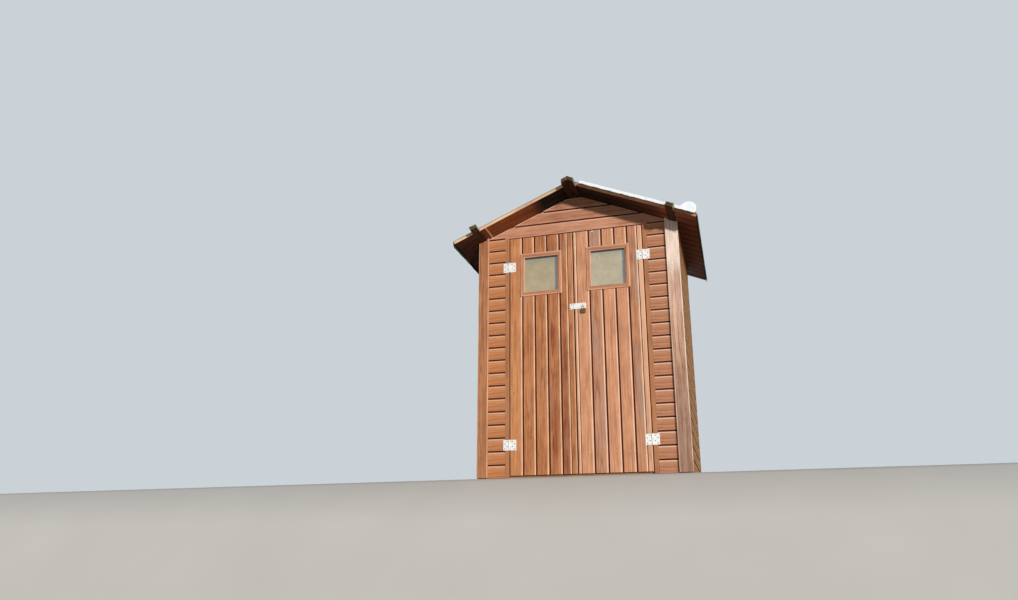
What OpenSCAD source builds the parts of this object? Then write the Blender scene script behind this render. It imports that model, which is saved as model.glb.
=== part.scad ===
// Small double-door garden shed in stained softwood, on timber bearers.
// Sizes are in millimetres. The origin is the middle of the base on the
// ground, +X is to the right, -Y is the front and +Z is up.

/* [Building] */
// Width over the side walls
body_w = 1410; // [1380:10:1480]
// Depth over the front and back walls
body_d = 900; // [840:10:980]
// Cladding courses from the bottom board to the door head
course_count = 19; // [18:1:20]
// Height covered by one cladding board
board_cover = 90; // [88:1:93]
// Height of the first gable board over the door head
gable_first = 84; // [80:1:93]
// Height of the lowest cladding board above the ground
clad_lift = 18; // [12:2:30]
// Thickness of the cladding
clad_t = 20; // [18:1:24]
// Face width of the V groove between two boards
groove_w = 10; // [6:1:14]
// Depth of the V groove between two boards
groove_d = 5; // [3:0.5:7]
// Side of the square framing timber
stud = 45; // [40:1:50]
// Width of the front left corner board
corner_w = 73; // [66:1:80]
// Width of the front right corner board
corner_right_w = 86; // [76:1:90]
// Thickness of the corner boards
corner_t = 20; // [16:1:26]
// Clearance between sloping faces that meet
seat = 0.05; // [0.03:0.01:0.2]

/* [Floor] */
// Height of the bearers under the floor
bearer_h = 45; // [40:1:60]
// Width of a bearer
bearer_w = 70; // [50:5:90]
// Distance of the outer bearers inside the faces of the walls
bearer_in = 25; // [25:1:60]
// Number of bearers
bearer_count = 3; // [3:1:5]
// Thickness of the floor boards
floor_t = 18; // [16:1:24]
// Width of a floor board
floor_board_w = 95; // [80:5:110]
// Gap between two floor boards
floor_gap = 3; // [2:0.5:5]

/* [Roof] */
// Pitch of the roof in degrees
pitch = 23; // [20:0.5:26]
// Drop from the door head to the soffit at the side wall
eave_drop = 26; // [20:1:34]
// Thickness of the roof boards
roof_t = 20; // [18:1:24]
// Width covered by one roof board
roof_board_w = 92; // [85:1:100]
// Overhang of the roof past the side walls
eave_over = 131; // [110:1:150]
// Overhang of the roof past the front wall
front_over = 180; // [160:5:200]
// Overhang of the roof past the back wall
back_over = 165; // [120:5:200]
// Length of the purlins past the front of the roof
purlin_out = 90; // [60:5:110]
// Width of an eaves purlin along the slope
purlin_w = 53; // [46:1:60]
// Height of the purlins across the slope, level with the roof boards on top
purlin_h = 27; // [25:1:34]
// Distance of an eaves purlin's centre line inside the side wall
purlin_in = 33; // [30:1:45]
// Width of the ridge purlin, whose two strips meet at the ridge
ridge_w = 86; // [76:2:100]
// Thickness of the roofing felt
felt_t = 3; // [2:0.5:4]
// Depth of the felt hanging at the eaves
felt_drip = 40; // [25:1:45]
// Half width of the felt strip on the ridge
ridge_strip = 62; // [50:1:80]
// Thickness of the pale sheet on the right slope
sheet_t = 3; // [2:0.5:4]
// Length of the sheet past the front of the roof boards
sheet_out = 50; // [30:5:60]
// Gap between the ridge strip and the sheet
sheet_gap = 8; // [4:1:20]
// Distance of the sheet inside the eaves edge
sheet_in = 6; // [4:1:20]
// Radius of the ruck where the sheet lifts at the front eaves corner
ruck_r = 53; // [44:1:56]
// Length of the ruck along the eaves
ruck_len = 320; // [240:10:400]

/* [Doors] */
// Width of the left leaf
leaf_left_w = 449; // [430:1:465]
// Width of the right leaf
leaf_right_w = 475; // [455:1:480]
// Gap between the two leaves
leaf_gap = 10; // [9:0.5:12]
// Gap between a leaf and the frame at the hinges
jamb_gap = 8; // [7:0.5:10]
// Distance of the doorway's middle from the middle of the wall
doorway_shift = -9; // [-14:1:0]
// Thickness of the door boards
leaf_t = 18; // [16:1:20]
// Gap over the leaves
head_gap = 6; // [5:0.5:8]
// Height of the leaves' lower edge above the ground
leaf_lift = 30; // [24:1:38]
// Drop of the gable's lower edge over the doorway
head_drop = 8; // [6:1:12]
// Width of the visible frame strip beside the leaves
strip_w = 28; // [22:1:34]
// Lap of the jamb posts behind the cladding
jamb_lap = 20; // [12:1:30]
// Height of the header over the doorway, with its stop
header_h = 65; // [55:1:80]
// Gap between a closed leaf and the stops behind it
stop_gap = 5; // [5:0.5:7]
// Overlap of the stops behind the leaves
stop_lap = 15; // [10:1:18]
// Width of the board next to the hinges
first_board_w = 95; // [85:1:100]
// Width covered by one door board
door_board_w = 89; // [84:1:90]
// Width of the strip at the meeting edge of the left leaf
meet_strip_w = 32; // [26:1:38]
// Width of the strip at the meeting edge of the right leaf
meet_strip_right_w = 22; // [16:1:28]
// Thickness of the ledges behind the boards
ledge_t = 20; // [16:1:24]
// Width of the ledges behind the boards
ledge_w = 90; // [70:5:100]
// Distance of the ledges from the edges of a leaf
ledge_in = 32; // [28:1:40]
// Height of the lowest ledge above the foot of a leaf
ledge_low = 90; // [60:5:140]
// Gap between a window's frame and the ledges over and under it
ledge_gap = 10; // [4:1:20]

/* [Windows] */
// Width of a window over its frame
win_w = 296; // [270:2:310]
// Height of a window over its frame
win_h = 318; // [290:2:330]
// Drop from the top of the leaf to the window frame
win_drop = 127; // [110:1:140]
// Width of the window moulding
mould_w = 28; // [22:1:32]
// Thickness of the window moulding
mould_t = 10; // [8:1:14]
// Chamfer on the edges of the window moulding
mould_chamfer = 4; // [2:0.5:6]
// Lap of the glass behind the moulding
glass_lap = 8; // [6:1:12]
// Thickness of the glass
glass_t = 4; // [3:0.5:5]
// Width of the inner glazing bead
bead_w = 16; // [14:1:20]
// Depth of the inner glazing bead
bead_t = 12; // [10:1:16]

/* [Hinges] */
// Length of a hinge
hinge_h = 70; // [60:2:80]
// Width of one hinge plate from the pin
hinge_w = 45; // [38:1:48]
// Thickness of the hinge plates
hinge_t = 2; // [1.5:0.5:3]
// Radius of the hinge barrel
barrel_r = 4.5; // [4:0.25:5]
// Radius of the hinge pin
pin_r = 2.5; // [2:0.25:3]
// Radial play of the hinge barrel on its pin
pin_play = 0.08; // [0.05:0.01:0.1]
// Gap between a barrel and the face of the boards
barrel_gap = 0.75; // [0.5:0.25:1]
// Gap between the two plates of a hinge, under the pin
plate_gap = 2; // [1:0.5:3]
// Height of the heads of a hinge pin
pin_head = 1.5; // [1:0.25:2]
// Width of the heads of a hinge pin past the pin
pin_rim = 1; // [0.5:0.25:1.5]
// Gap between two knuckles
knuckle_gap = 0.5; // [0.4:0.1:0.8]
// Gap between a hinge plate and the other plate's knuckle
notch_gap = 1; // [0.8:0.1:1.5]
// Drop from the top of a leaf to the middle of its top hinge
hinge_drop = 219; // [200:1:240]
// Height of the lower hinge's middle above the foot of a leaf
hinge_rise = 202; // [180:1:230]

/* [Hasp and padlock] */
// Drop from the top of the leaves to the middle of the hasp
hasp_drop = 550; // [530:5:600]
// Height of the hasp
hasp_h = 40; // [36:1:46]
// Length of the hasp plate from its pin
hasp_plate_w = 30; // [26:1:36]
// Length of the hasp strap from its pin
hasp_strap_w = 84; // [76:1:92]
// Thickness of the hasp metal
hasp_t = 2; // [1.5:0.5:2.5]
// Radius of the hasp knuckles
hasp_barrel_r = 3.5; // [3:0.25:3.75]
// Radius of the hasp pin
hasp_pin_r = 1.5; // [1:0.25:1.75]
// Height of the heads of the hasp pin
hasp_pin_head = 1; // [0.5:0.25:1.5]
// Width of the heads of the hasp pin past the pin
hasp_pin_rim = 0.75; // [0.5:0.25:1]
// Gap between the hasp knuckles and the boards
hasp_gap = 0.5; // [0.3:0.1:1]
// Radius of the corners of the hasp strap
strap_round = 8; // [4:1:12]
// Clearance of the slot in the strap around the staple
slot_play = 2; // [1:0.5:2.5]
// Distance of the staple from the hasp pin
staple_x = 64; // [58:1:68]
// Diameter of the staple wire
staple_d = 5; // [4:0.5:6]
// Clear height inside the staple
staple_eye = 11; // [9:0.5:13]
// Reach of the staple in front of the leaf
staple_out = 20; // [18:1:24]
// Thickness of the staple's plate under the strap
staple_base = 1.5; // [1:0.25:2]
// Width of the staple's plate
staple_plate_w = 32; // [26:1:34]
// Distance of the staple's plate inside the edges of the strap
staple_plate_in = 3; // [2:0.5:4]
// Width of the padlock body
lock_w = 32; // [28:1:36]
// Height of the padlock body
lock_h = 30; // [26:1:34]
// Thickness of the padlock body
lock_t = 13; // [11:1:15]
// Radius of the lower corners of the padlock body
lock_round = 4; // [2:0.5:6]
// Length of the key slot in the foot of the padlock
key_slot_w = 8; // [6:0.5:10]
// Width of the key slot
key_slot_t = 2; // [1.5:0.25:3]
// Depth of the key slot
key_slot_d = 5; // [3:0.5:8]
// Diameter of the padlock shackle
shackle_d = 5; // [4:0.5:5.5]
// Clear width inside the padlock shackle
shackle_w = 14; // [12:1:16]
// Length of the straight legs of the shackle over the body
shackle_leg = 12; // [8:1:18]
// Gap between the shackle and the staple it hangs on
hang_gap = 0.5; // [0.4:0.1:1]
// Gap between the shackle and the bend of the staple
hang_back = 1.5; // [1:0.25:2]

/* [Hidden] */
$fn = 64;
// Overshoot of a cut past the face that it starts from
over = 1;

// Walls
half_w = body_w / 2;
half_d = body_d / 2;
front = -half_d;
frame_y = front + clad_t + stud;
head_z = clad_lift + course_count * board_cover;
eave_z = head_z - eave_drop;

// Roof slope
sp = sin(pitch);
cp = cos(pitch);
tp = tan(pitch);
function soffit(x) = eave_z + (half_w - abs(x)) * tp;
apex_z = soffit(0);
roof_half = half_w + eave_over;
slope_len = roof_half / cp;
roof_y0 = front - front_over;
roof_y1 = half_d + back_over;
purlin_y0 = roof_y0 - purlin_out;
wall_joints = concat([for (k = [1 : course_count]) clad_lift + k * board_cover],
    [for (z = [head_z + gable_first : board_cover : apex_z]) z]);

// Heights of the roof's layers over the soffit, square to the slope
felt_n = roof_t + seat;
strip_n = felt_n + felt_t + seat;
function layer_z(n, x) = soffit(x) + n / cp;

// Doorway and leaves
door_w = leaf_left_w + leaf_right_w + leaf_gap + 2 * jamb_gap;
door_x0 = doorway_shift - door_w / 2;
door_x1 = door_x0 + door_w;
doorway_top = head_z - head_drop;
leaf_top = doorway_top - head_gap;
leaf_z0 = leaf_lift;
leaf_h = leaf_top - leaf_z0;
left_x0 = door_x0 + jamb_gap;
left_x1 = left_x0 + leaf_left_w;
right_x0 = left_x1 + leaf_gap;
right_x1 = right_x0 + leaf_right_w;
axis_l = door_x0 + jamb_gap / 2;
axis_r = door_x1 - jamb_gap / 2;
axis_y = front - barrel_gap - barrel_r;
stop_y = front + leaf_t + stop_gap;
stop_top = doorway_top - stop_lap;
header_top = stop_top + header_h;
strip_x0 = door_x0 - strip_w;
strip_x1 = door_x1 + strip_w;
jamb_x0 = strip_x0 - jamb_lap;
jamb_x1 = strip_x1 + jamb_lap;

// Eaves purlins: depth under the soffit, centre line, lower outer corner
purlin_sink = purlin_h - roof_t;
purl_x = half_w - purlin_in;
purl_z = soffit(purl_x);
purl_ox = purl_x + purlin_w / 2 * cp - purlin_sink * sp;
purl_oz = purl_z - purlin_w / 2 * sp - purlin_sink * cp;
function purlin_under(x) = purl_oz + (purl_ox - x) * tp - seat / cp;

// Framing
floor_z = bearer_h + floor_t;
sole_top = floor_z + stud;
inner_w = half_w - clad_t;
inner_d = half_d - clad_t;
post_x0 = inner_w - stud;
post_y0 = inner_d - stud;
side_top = purlin_under(purl_ox);
plate_z = side_top - stud;
ridge_under = apex_z - purlin_sink / cp;

// Windows
win_z1 = leaf_top - win_drop;
win_z0 = win_z1 - win_h;
win_zc = (win_z0 + win_z1) / 2;
hole_w = win_w - 2 * mould_w;
hole_h = win_h - 2 * mould_w;
sight_w = hole_w - 2 * glass_lap;
sight_h = hole_h - 2 * glass_lap;

// Hinges
hinge_z1 = leaf_top - hinge_drop;
hinge_z0 = leaf_z0 + hinge_rise;
knuckle_h = (hinge_h - 2 * knuckle_gap) / 3;
knuckle_step = knuckle_h + knuckle_gap;

// Hasp, staple and padlock
hasp_x = left_x1 + leaf_gap / 2;
hasp_y = front - hasp_barrel_r - hasp_gap;
hasp_z = leaf_top - hasp_drop;
hasp_face = front - hasp_y;
hasp_k = (hasp_h - 2 * knuckle_gap) / 3;
hasp_step = hasp_k + knuckle_gap;
staple_cx = hasp_x + staple_x;
staple_r = (staple_eye + staple_d) / 2;
staple_yc = front - staple_out + staple_d / 2 + staple_r;
lock_r = (shackle_w + shackle_d) / 2;
shackle_zc = hasp_z - staple_eye / 2 + hang_gap + shackle_d / 2 - lock_r;
shackle_y = front - staple_out + staple_d + shackle_d / 2 + hang_back;
lock_top = shackle_zc - shackle_leg;

// Shared forms

// Extrudes an XZ outline along Y, from y0 to y1
module along_y(y0, y1)
    translate([0, y1, 0]) rotate([90, 0, 0]) linear_extrude(y1 - y0) children();

// Extrudes a YZ outline along X, from x0 to x1
module along_x(x0, x1)
    translate([x0, 0, 0]) rotate([90, 0, 90]) linear_extrude(x1 - x0) children();

// Swaps the two axes of an outline
module swapped()
    mirror([1, -1]) children();

// Outline of a V cut into the edge at 0, at a height along that edge
module vee(at) {
    reach = groove_w / 2 * (groove_d + over) / groove_d;
    polygon([[groove_d, at], [-over, at - reach], [-over, at + reach]]);
}

// Outline of boards side by side: face at 0, from a0 to a1, with V joints
module boarded(a0, a1, t, joints)
    difference() {
        translate([0, a0]) square([t, a1 - a0]);
        for (at = joints) vee(at);
    }

// Wall of horizontal boards facing -Y
module front_wall(x0, x1, z0, z1)
    translate([0, front, 0]) along_x(x0, x1)
        boarded(z0, z1, clad_t,
            [for (z = wall_joints) if (z >= z0 && z <= z1) z]);

// Everything under the roof boards, as an XZ outline
module under_roof(z0)
    translate([0, -seat / cp])
        polygon([[-roof_half, z0], [roof_half, z0],
            [roof_half, soffit(roof_half)], [0, apex_z],
            [-roof_half, soffit(roof_half)]]);

// Ridge purlin of two strips that follow the slopes, between two depths,
// grown by m where it is used as a cut
module ridge_form(y0, y1, m = 0) {
    x = ridge_w / 2 + m;
    low = (purlin_sink + m) / cp;
    high = (roof_t - seat + m) / cp;
    along_y(y0, y1)
        polygon([[-x, soffit(x) - low], [0, apex_z - low], [x, soffit(x) - low],
            [x, soffit(x) + high], [0, apex_z + high], [-x, soffit(x) + high]]);
}

// Right eaves purlin between two depths, grown by m where it is used as a cut
module eaves_form(y0, y1, m = 0)
    translate([purl_x, y0, purl_z]) rotate([0, pitch, 0])
        translate([-purlin_w / 2 - m, 0, -purlin_sink - m])
            cube([purlin_w + 2 * m, y1 - y0, purlin_h - seat + 2 * m]);

module all_purlins(y0, y1, m) {
    ridge_form(y0, y1, m);
    eaves_form(y0, y1, m);
    mirror([1, 0, 0]) eaves_form(y0, y1, m);
}

// Floor and frame

module bearers() color("peru")
    for (i = [0 : bearer_count - 1])
        let (room = half_d - bearer_in - bearer_w / 2,
             y = -room + 2 * room * i / (bearer_count - 1))
        translate([-inner_w, y - bearer_w / 2, 0])
            cube([2 * inner_w, bearer_w, bearer_h]);

module floor_boards() color("burlywood") {
    depth = inner_d - stop_y;
    step = floor_board_w + floor_gap;
    rows = ceil(depth / step);
    for (i = [0 : rows - 1])
        translate([-inner_w, stop_y + i * step, bearer_h])
            cube([2 * inner_w, min(floor_board_w, depth - i * step), floor_t]);
}

// Ring of plates on the floor, open at the doorway
module sole_plates() color("tan")
    translate([0, 0, floor_z]) linear_extrude(stud) difference() {
        translate([-inner_w, -inner_d]) square(2 * [inner_w, inner_d]);
        translate([-post_x0, -post_y0]) square(2 * [post_x0, post_y0]);
        translate([jamb_x0, -inner_d - over])
            square([jamb_x1 - jamb_x0, stud + 2 * over]);
    }

module corner_posts() color("tan")
    for (x = [-inner_w, post_x0], y = [-inner_d, post_y0])
        translate([x, y, sole_top]) cube([stud, stud, plate_z - sole_top]);

module wall_plates() color("tan") {
    for (s = [0, 1]) mirror([s, 0, 0])
        along_y(-inner_d, inner_d)
            polygon([[post_x0, plate_z], [inner_w, plate_z],
                [inner_w, purlin_under(inner_w)],
                [post_x0, purlin_under(post_x0)]]);
    translate([-inner_w, post_y0, plate_z]) cube([2 * inner_w, stud, stud]);
}

// Studs: over the door, at the back over the plate, and at the back under it
module gable_studs() color("tan")
    difference() {
        for (s = [[-inner_d, header_top, ridge_under],
                  [post_y0, side_top, ridge_under],
                  [post_y0, sole_top, plate_z]])
            translate([-stud / 2, s[0], s[1]])
                cube([stud, stud, s[2] - s[1] - seat]);
        ridge_form(-inner_d - over, inner_d + over, seat);
    }

// Door jamb: the strip seen from the front, and the post with the stop
module jamb() {
    translate([-strip_w, front, clad_lift])
        cube([strip_w, clad_t, doorway_top - clad_lift]);
    translate([0, 0, floor_z]) linear_extrude(stop_top - floor_z)
        polygon([[-strip_w - jamb_lap, front + clad_t], [-strip_w, front + clad_t],
            [-strip_w, front], [0, front], [0, stop_y], [stop_lap, stop_y],
            [stop_lap, frame_y], [-strip_w - jamb_lap, frame_y]]);
}

module jamb_left() color("sienna") translate([door_x0, 0, 0]) jamb();

module jamb_right() color("sienna")
    translate([door_x1, 0, 0]) mirror([1, 0, 0]) jamb();

module door_header() color("tan")
    along_x(jamb_x0, jamb_x1)
        polygon([[stop_y, stop_top], [frame_y, stop_top], [frame_y, header_top],
            [front + clad_t, header_top], [front + clad_t, doorway_top],
            [stop_y, doorway_top]]);

// Cladding

// Part of the front wall under the roof, clear of the purlins
module front_cladding(x0, x1, z0)
    difference() {
        intersection() {
            front_wall(x0, x1, z0, apex_z);
            along_y(front - over, front + clad_t + over) under_roof(0);
            children();
        }
        all_purlins(front - over, front + clad_t + over, seat);
    }

// Everything up to the door head
module below_head(x0, x1)
    translate([x0, front - over, 0])
        cube([x1 - x0, clad_t + 2 * over, head_z]);

module cladding_front_left() color("sandybrown")
    front_cladding(-half_w, strip_x0, clad_lift) below_head(-half_w, strip_x0);

module cladding_front_right() color("sandybrown")
    front_cladding(strip_x1, half_w, clad_lift) below_head(strip_x1, half_w);

module cladding_front_gable() color("sandybrown")
    front_cladding(-half_w, half_w, doorway_top)
        along_y(front - over, front + clad_t + over)
            polygon([[-half_w, head_z], [strip_x0, head_z],
                [strip_x0, doorway_top], [strip_x1, doorway_top],
                [strip_x1, head_z], [half_w, head_z],
                [half_w, apex_z], [-half_w, apex_z]]);

module cladding_back() color("sandybrown")
    rotate([0, 0, 180]) front_cladding(-half_w, half_w, clad_lift)
        translate([-half_w, front - over, 0])
            cube([body_w, clad_t + 2 * over, apex_z]);

module side_wall()
    rotate([0, 0, 90]) translate([0, half_d - half_w, 0])
        front_wall(-inner_d, inner_d, clad_lift, side_top);

module cladding_right() color("peru") side_wall();

module cladding_left() color("peru") mirror([1, 0, 0]) side_wall();

// Corner board planted on the front, cut to the soffit and the purlin
module corner_board(w)
    difference() {
        intersection() {
            translate([half_w - w, front - corner_t, clad_lift])
                cube([w, corner_t, apex_z]);
            along_y(front - corner_t - over, front + over) under_roof(0);
        }
        eaves_form(front - corner_t - over, front + over, seat);
    }

module corner_board_right() color("tan") corner_board(corner_right_w);

module corner_board_left() color("tan")
    mirror([1, 0, 0]) corner_board(corner_w);

module corner_boards_back() color("tan")
    rotate([0, 0, 180]) {
        corner_board(corner_w);
        mirror([1, 0, 0]) corner_board(corner_w);
    }

// Roof

module ridge_purlin() color("saddlebrown") ridge_form(purlin_y0, roof_y1);

module eaves_purlin_right() color("saddlebrown")
    eaves_form(purlin_y0, roof_y1);

module eaves_purlin_left() color("saddlebrown")
    mirror([1, 0, 0]) eaves_form(purlin_y0, roof_y1);

// Moves to the right slope: X runs down it and Z stands square on the soffit
module on_slope()
    translate([0, 0, apex_z]) rotate([0, pitch, 0]) children();

// Boards from the ridge purlin to the eaves, open over the eaves purlin, with
// V joints on the underside
module roof_boards()
    difference() {
        on_slope() along_x(-roof_t, slope_len)
            swapped() boarded(roof_y0, roof_y1, roof_t,
                [for (y = [roof_y0 + roof_board_w : roof_board_w :
                    roof_y1 - roof_board_w / 2]) y]);
        translate([-2 * roof_t, roof_y0 - over, apex_z - 2 * roof_t])
            cube([2 * roof_t + ridge_w / 2 + seat,
                roof_y1 - roof_y0 + 2 * over, 5 * roof_t]);
        on_slope() translate([purl_x / cp - purlin_w / 2 - seat, roof_y0 - over,
                -over])
            cube([purlin_w + 2 * seat, roof_y1 - roof_y0 + 2 * over,
                roof_t + 2 * over]);
    }

module roof_boards_right() color("chocolate") roof_boards();

module roof_boards_left() color("chocolate") mirror([1, 0, 0]) roof_boards();

// Felt on the boards, with a drip hanging over the eaves
module roof_felt() {
    xe = roof_half + roof_t * sp + seat;
    ze = layer_z(felt_n, xe);
    up = felt_t / cp;
    along_y(roof_y0, roof_y1)
        polygon([[0, layer_z(felt_n, 0)], [xe, ze], [xe, ze - felt_drip],
            [xe + felt_t, ze - felt_drip],
            [xe + felt_t, ze + up - felt_t * tp], [0, layer_z(felt_n, 0) + up]]);
}

module roof_felt_right() color("dimgray") roof_felt();

module roof_felt_left() color("dimgray") mirror([1, 0, 0]) roof_felt();

// Strip of felt folded over the ridge
module ridge_felt() color("gray") {
    z0 = layer_z(strip_n, 0);
    z1 = layer_z(strip_n, ridge_strip);
    up = felt_t / cp;
    along_y(roof_y0, roof_y1)
        polygon([[-ridge_strip, z1], [0, z0], [ridge_strip, z1],
            [ridge_strip, z1 + up], [0, z0 + up], [-ridge_strip, z1 + up]]);
}

// Pale sheet on the right slope: it sticks out past the front edge, and lifts
// in a tapering ruck at the front eaves corner
module roof_sheet_right() color("white") {
    u0 = (ridge_strip + sheet_gap) / cp;
    u1 = slope_len - sheet_in;
    uc = u1 - ruck_r;
    y0 = roof_y0 - sheet_out;
    tail = 2 * sheet_t;
    on_slope() difference() {
        union() {
            translate([u0, y0, strip_n]) cube([u1 - u0, roof_y1 - y0, sheet_t]);
            translate([uc, y0, strip_n]) rotate([-90, 0, 0])
                cylinder(h = ruck_len, r1 = ruck_r, r2 = tail);
        }
        translate([uc, y0 + sheet_t, strip_n]) rotate([-90, 0, 0])
            cylinder(h = ruck_len - 2 * ruck_r / 3, r1 = ruck_r - sheet_t, r2 = tail);
        translate([uc - ruck_r - over, y0 - over, strip_n - ruck_r - over])
            cube([2 * (ruck_r + over), ruck_len + 2 * over, ruck_r + over]);
    }
}

// Hinges, drawn with the pin at the origin and the boards on the +Y side

// Plate lying on the boards, on the +X side of the pin, cut back at the
// other plate's knuckles
module hinge_plate(knuckles)
    difference() {
        translate([plate_gap / 2, barrel_gap + barrel_r - hinge_t, -hinge_h / 2])
            cube([hinge_w - plate_gap / 2, hinge_t, hinge_h]);
        for (z = knuckles)
            translate([0, 0, z - knuckle_h / 2 - knuckle_gap - notch_gap / 2])
                cube([barrel_r + notch_gap, barrel_r + barrel_gap + over,
                    knuckle_h + 2 * knuckle_gap + notch_gap]);
    }

// Frame side: outer knuckles, their plate, and the pin with its heads
module hinge_frame_side() {
    hinge_plate([0]);
    for (z = [-knuckle_step, knuckle_step])
        translate([0, 0, z - knuckle_h / 2]) cylinder(h = knuckle_h, r = barrel_r);
    translate([0, 0, -hinge_h / 2 - pin_head])
        cylinder(h = hinge_h + 2 * pin_head, r = pin_r);
    for (z = [-hinge_h / 2 - pin_head, hinge_h / 2])
        translate([0, 0, z]) cylinder(h = pin_head, r = pin_r + pin_rim);
}

// Leaf side: the middle knuckle, bored for the pin, and its plate
module hinge_leaf_side()
    difference() {
        union() {
            hinge_plate([-knuckle_step, knuckle_step]);
            translate([0, 0, -knuckle_h / 2])
                cylinder(h = knuckle_h, r = barrel_r);
        }
        translate([0, 0, -knuckle_h / 2 - over])
            cylinder(h = knuckle_h + 2 * over, r = pin_r + pin_play);
    }

module hinge_pair(x)
    for (z = [hinge_z0, hinge_z1]) translate([x, axis_y, z]) children();

module hinge_plates_frame_left() color("silver")
    hinge_pair(axis_l) mirror([1, 0, 0]) hinge_frame_side();

module hinge_plates_frame_right() color("silver")
    hinge_pair(axis_r) hinge_frame_side();

module hinge_plates_leaf_left() color("silver")
    hinge_pair(axis_l) hinge_leaf_side();

module hinge_plates_leaf_right() color("silver")
    hinge_pair(axis_r) mirror([1, 0, 0]) hinge_leaf_side();

// Leaves, drawn from the hinge edge at X 0

// Boards of a leaf: w wide from the hinge edge, meet the width of the strip
// at the meeting edge, with the window cut out
module leaf_boards(w, meet)
    difference() {
        translate([0, front, leaf_z0]) linear_extrude(leaf_h)
            swapped() boarded(0, w, leaf_t,
                concat([for (i = [0 : 3]) first_board_w + i * door_board_w],
                    [w - meet]));
        translate([(w - hole_w) / 2, front - over, win_zc - hole_h / 2])
            cube([hole_w, leaf_t + 2 * over, hole_h]);
    }

// Ledges and brace on the inner face of a leaf
module leaf_ledges(w) {
    top_z = win_z1 + ledge_gap;
    mid_z = win_z0 - ledge_w - ledge_gap;
    low_z = leaf_z0 + ledge_low;
    l = w - 2 * ledge_in;
    translate([ledge_in, front + leaf_t, 0]) {
        for (z = [top_z, mid_z, low_z]) translate([0, 0, z])
            cube([l, ledge_t, ledge_w]);
        along_y(0, ledge_t)
            polygon([[0, low_z + ledge_w / 2], [ledge_w, low_z + ledge_w / 2],
                [l, mid_z + ledge_w / 2], [l - ledge_w, mid_z + ledge_w / 2]]);
    }
}

// Block with its front face at -t, chamfered along all four front edges
module chamfered_plate(w, h, t, c)
    intersection() {
        along_x(-w / 2, w / 2)
            polygon([[0, -h / 2], [0, h / 2], [c - t, h / 2], [-t, h / 2 - c],
                [-t, c - h / 2], [c - t, -h / 2]]);
        translate([0, 0, -h / 2]) linear_extrude(h)
            polygon([[-w / 2, 0], [w / 2, 0], [w / 2, c - t], [w / 2 - c, -t],
                [c - w / 2, -t], [-w / 2, c - t]]);
    }

// Hole through such a block, flared towards the front
module flared_hole(w, h, t, c) {
    translate([-w / 2, -t - over, -h / 2]) cube([w, t + 2 * over, h]);
    intersection() {
        along_x(-w / 2 - c - over, w / 2 + c + over)
            polygon([[c - t, -h / 2], [c - t, h / 2],
                [-t - over, h / 2 + c + over], [-t - over, -h / 2 - c - over]]);
        translate([0, 0, -h / 2 - c - over]) linear_extrude(h + 2 * (c + over))
            polygon([[-w / 2, c - t], [w / 2, c - t],
                [w / 2 + c + over, -t - over], [-w / 2 - c - over, -t - over]]);
    }
}

// Window moulding planted on the front of a leaf, chamfered round both edges
module moulding(w)
    translate([w / 2, front, win_zc]) difference() {
        chamfered_plate(win_w, win_h, mould_t, mould_chamfer);
        flared_hole(sight_w, sight_h, mould_t, mould_chamfer);
    }

module pane(w)
    translate([(w - hole_w) / 2, front, win_zc - hole_h / 2])
        cube([hole_w, glass_t, hole_h]);

// Bead that holds the pane from inside
module bead(w)
    translate([w / 2, front + glass_t, win_zc]) along_y(0, bead_t) difference() {
        square([hole_w, hole_h], center = true);
        square([hole_w - 2 * bead_w, hole_h - 2 * bead_w], center = true);
    }

module on_left() translate([left_x0, 0, 0]) children();

module on_right() translate([right_x1, 0, 0]) mirror([1, 0, 0]) children();

module left_leaf_boards() color("peru") on_left()
    leaf_boards(leaf_left_w, meet_strip_w);

module left_leaf_ledges() color("tan") on_left() leaf_ledges(leaf_left_w);

module left_window_moulding() color("sienna") on_left() moulding(leaf_left_w);

module left_window_glass() color("lightblue") on_left() pane(leaf_left_w);

module left_window_bead() color("tan") on_left() bead(leaf_left_w);

module right_leaf_boards() color("peru") on_right()
    leaf_boards(leaf_right_w, meet_strip_right_w);

module right_leaf_ledges() color("tan") on_right() leaf_ledges(leaf_right_w);

module right_window_moulding() color("sienna") on_right() moulding(leaf_right_w);

module right_window_glass() color("lightblue") on_right() pane(leaf_right_w);

module right_window_bead() color("tan") on_right() bead(leaf_right_w);

// Hasp and padlock

// Bar lying along +X from 0, with its two far corners rounded
module round_end(l, h, r) {
    translate([0, -h / 2]) square([l - r, h]);
    translate([0, -h / 2 + r]) square([l, h - 2 * r]);
    for (s = [-1, 1])
        translate([l - r, s * (h / 2 - r)]) circle(r = r);
}

// Fixed plate on the left leaf: the outer knuckles and the heads of the pin
module hasp_plate() color("silver")
    translate([hasp_x, hasp_y, hasp_z]) {
        difference() {
            translate([-hasp_plate_w, hasp_face - hasp_t, -hasp_h / 2])
                cube([hasp_plate_w - plate_gap / 2, hasp_t, hasp_h]);
            translate([-hasp_barrel_r - notch_gap, 0,
                    -hasp_k / 2 - knuckle_gap - notch_gap / 2])
                cube([hasp_barrel_r + notch_gap + over, hasp_face + over,
                    hasp_k + 2 * knuckle_gap + notch_gap]);
        }
        for (z = [-hasp_step, hasp_step]) translate([0, 0, z - hasp_k / 2])
            cylinder(h = hasp_k, r = hasp_barrel_r);
        for (z = [-hasp_h / 2 - hasp_pin_head, hasp_h / 2])
            translate([0, 0, z])
                cylinder(h = hasp_pin_head, r = hasp_pin_r + hasp_pin_rim);
    }

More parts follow.
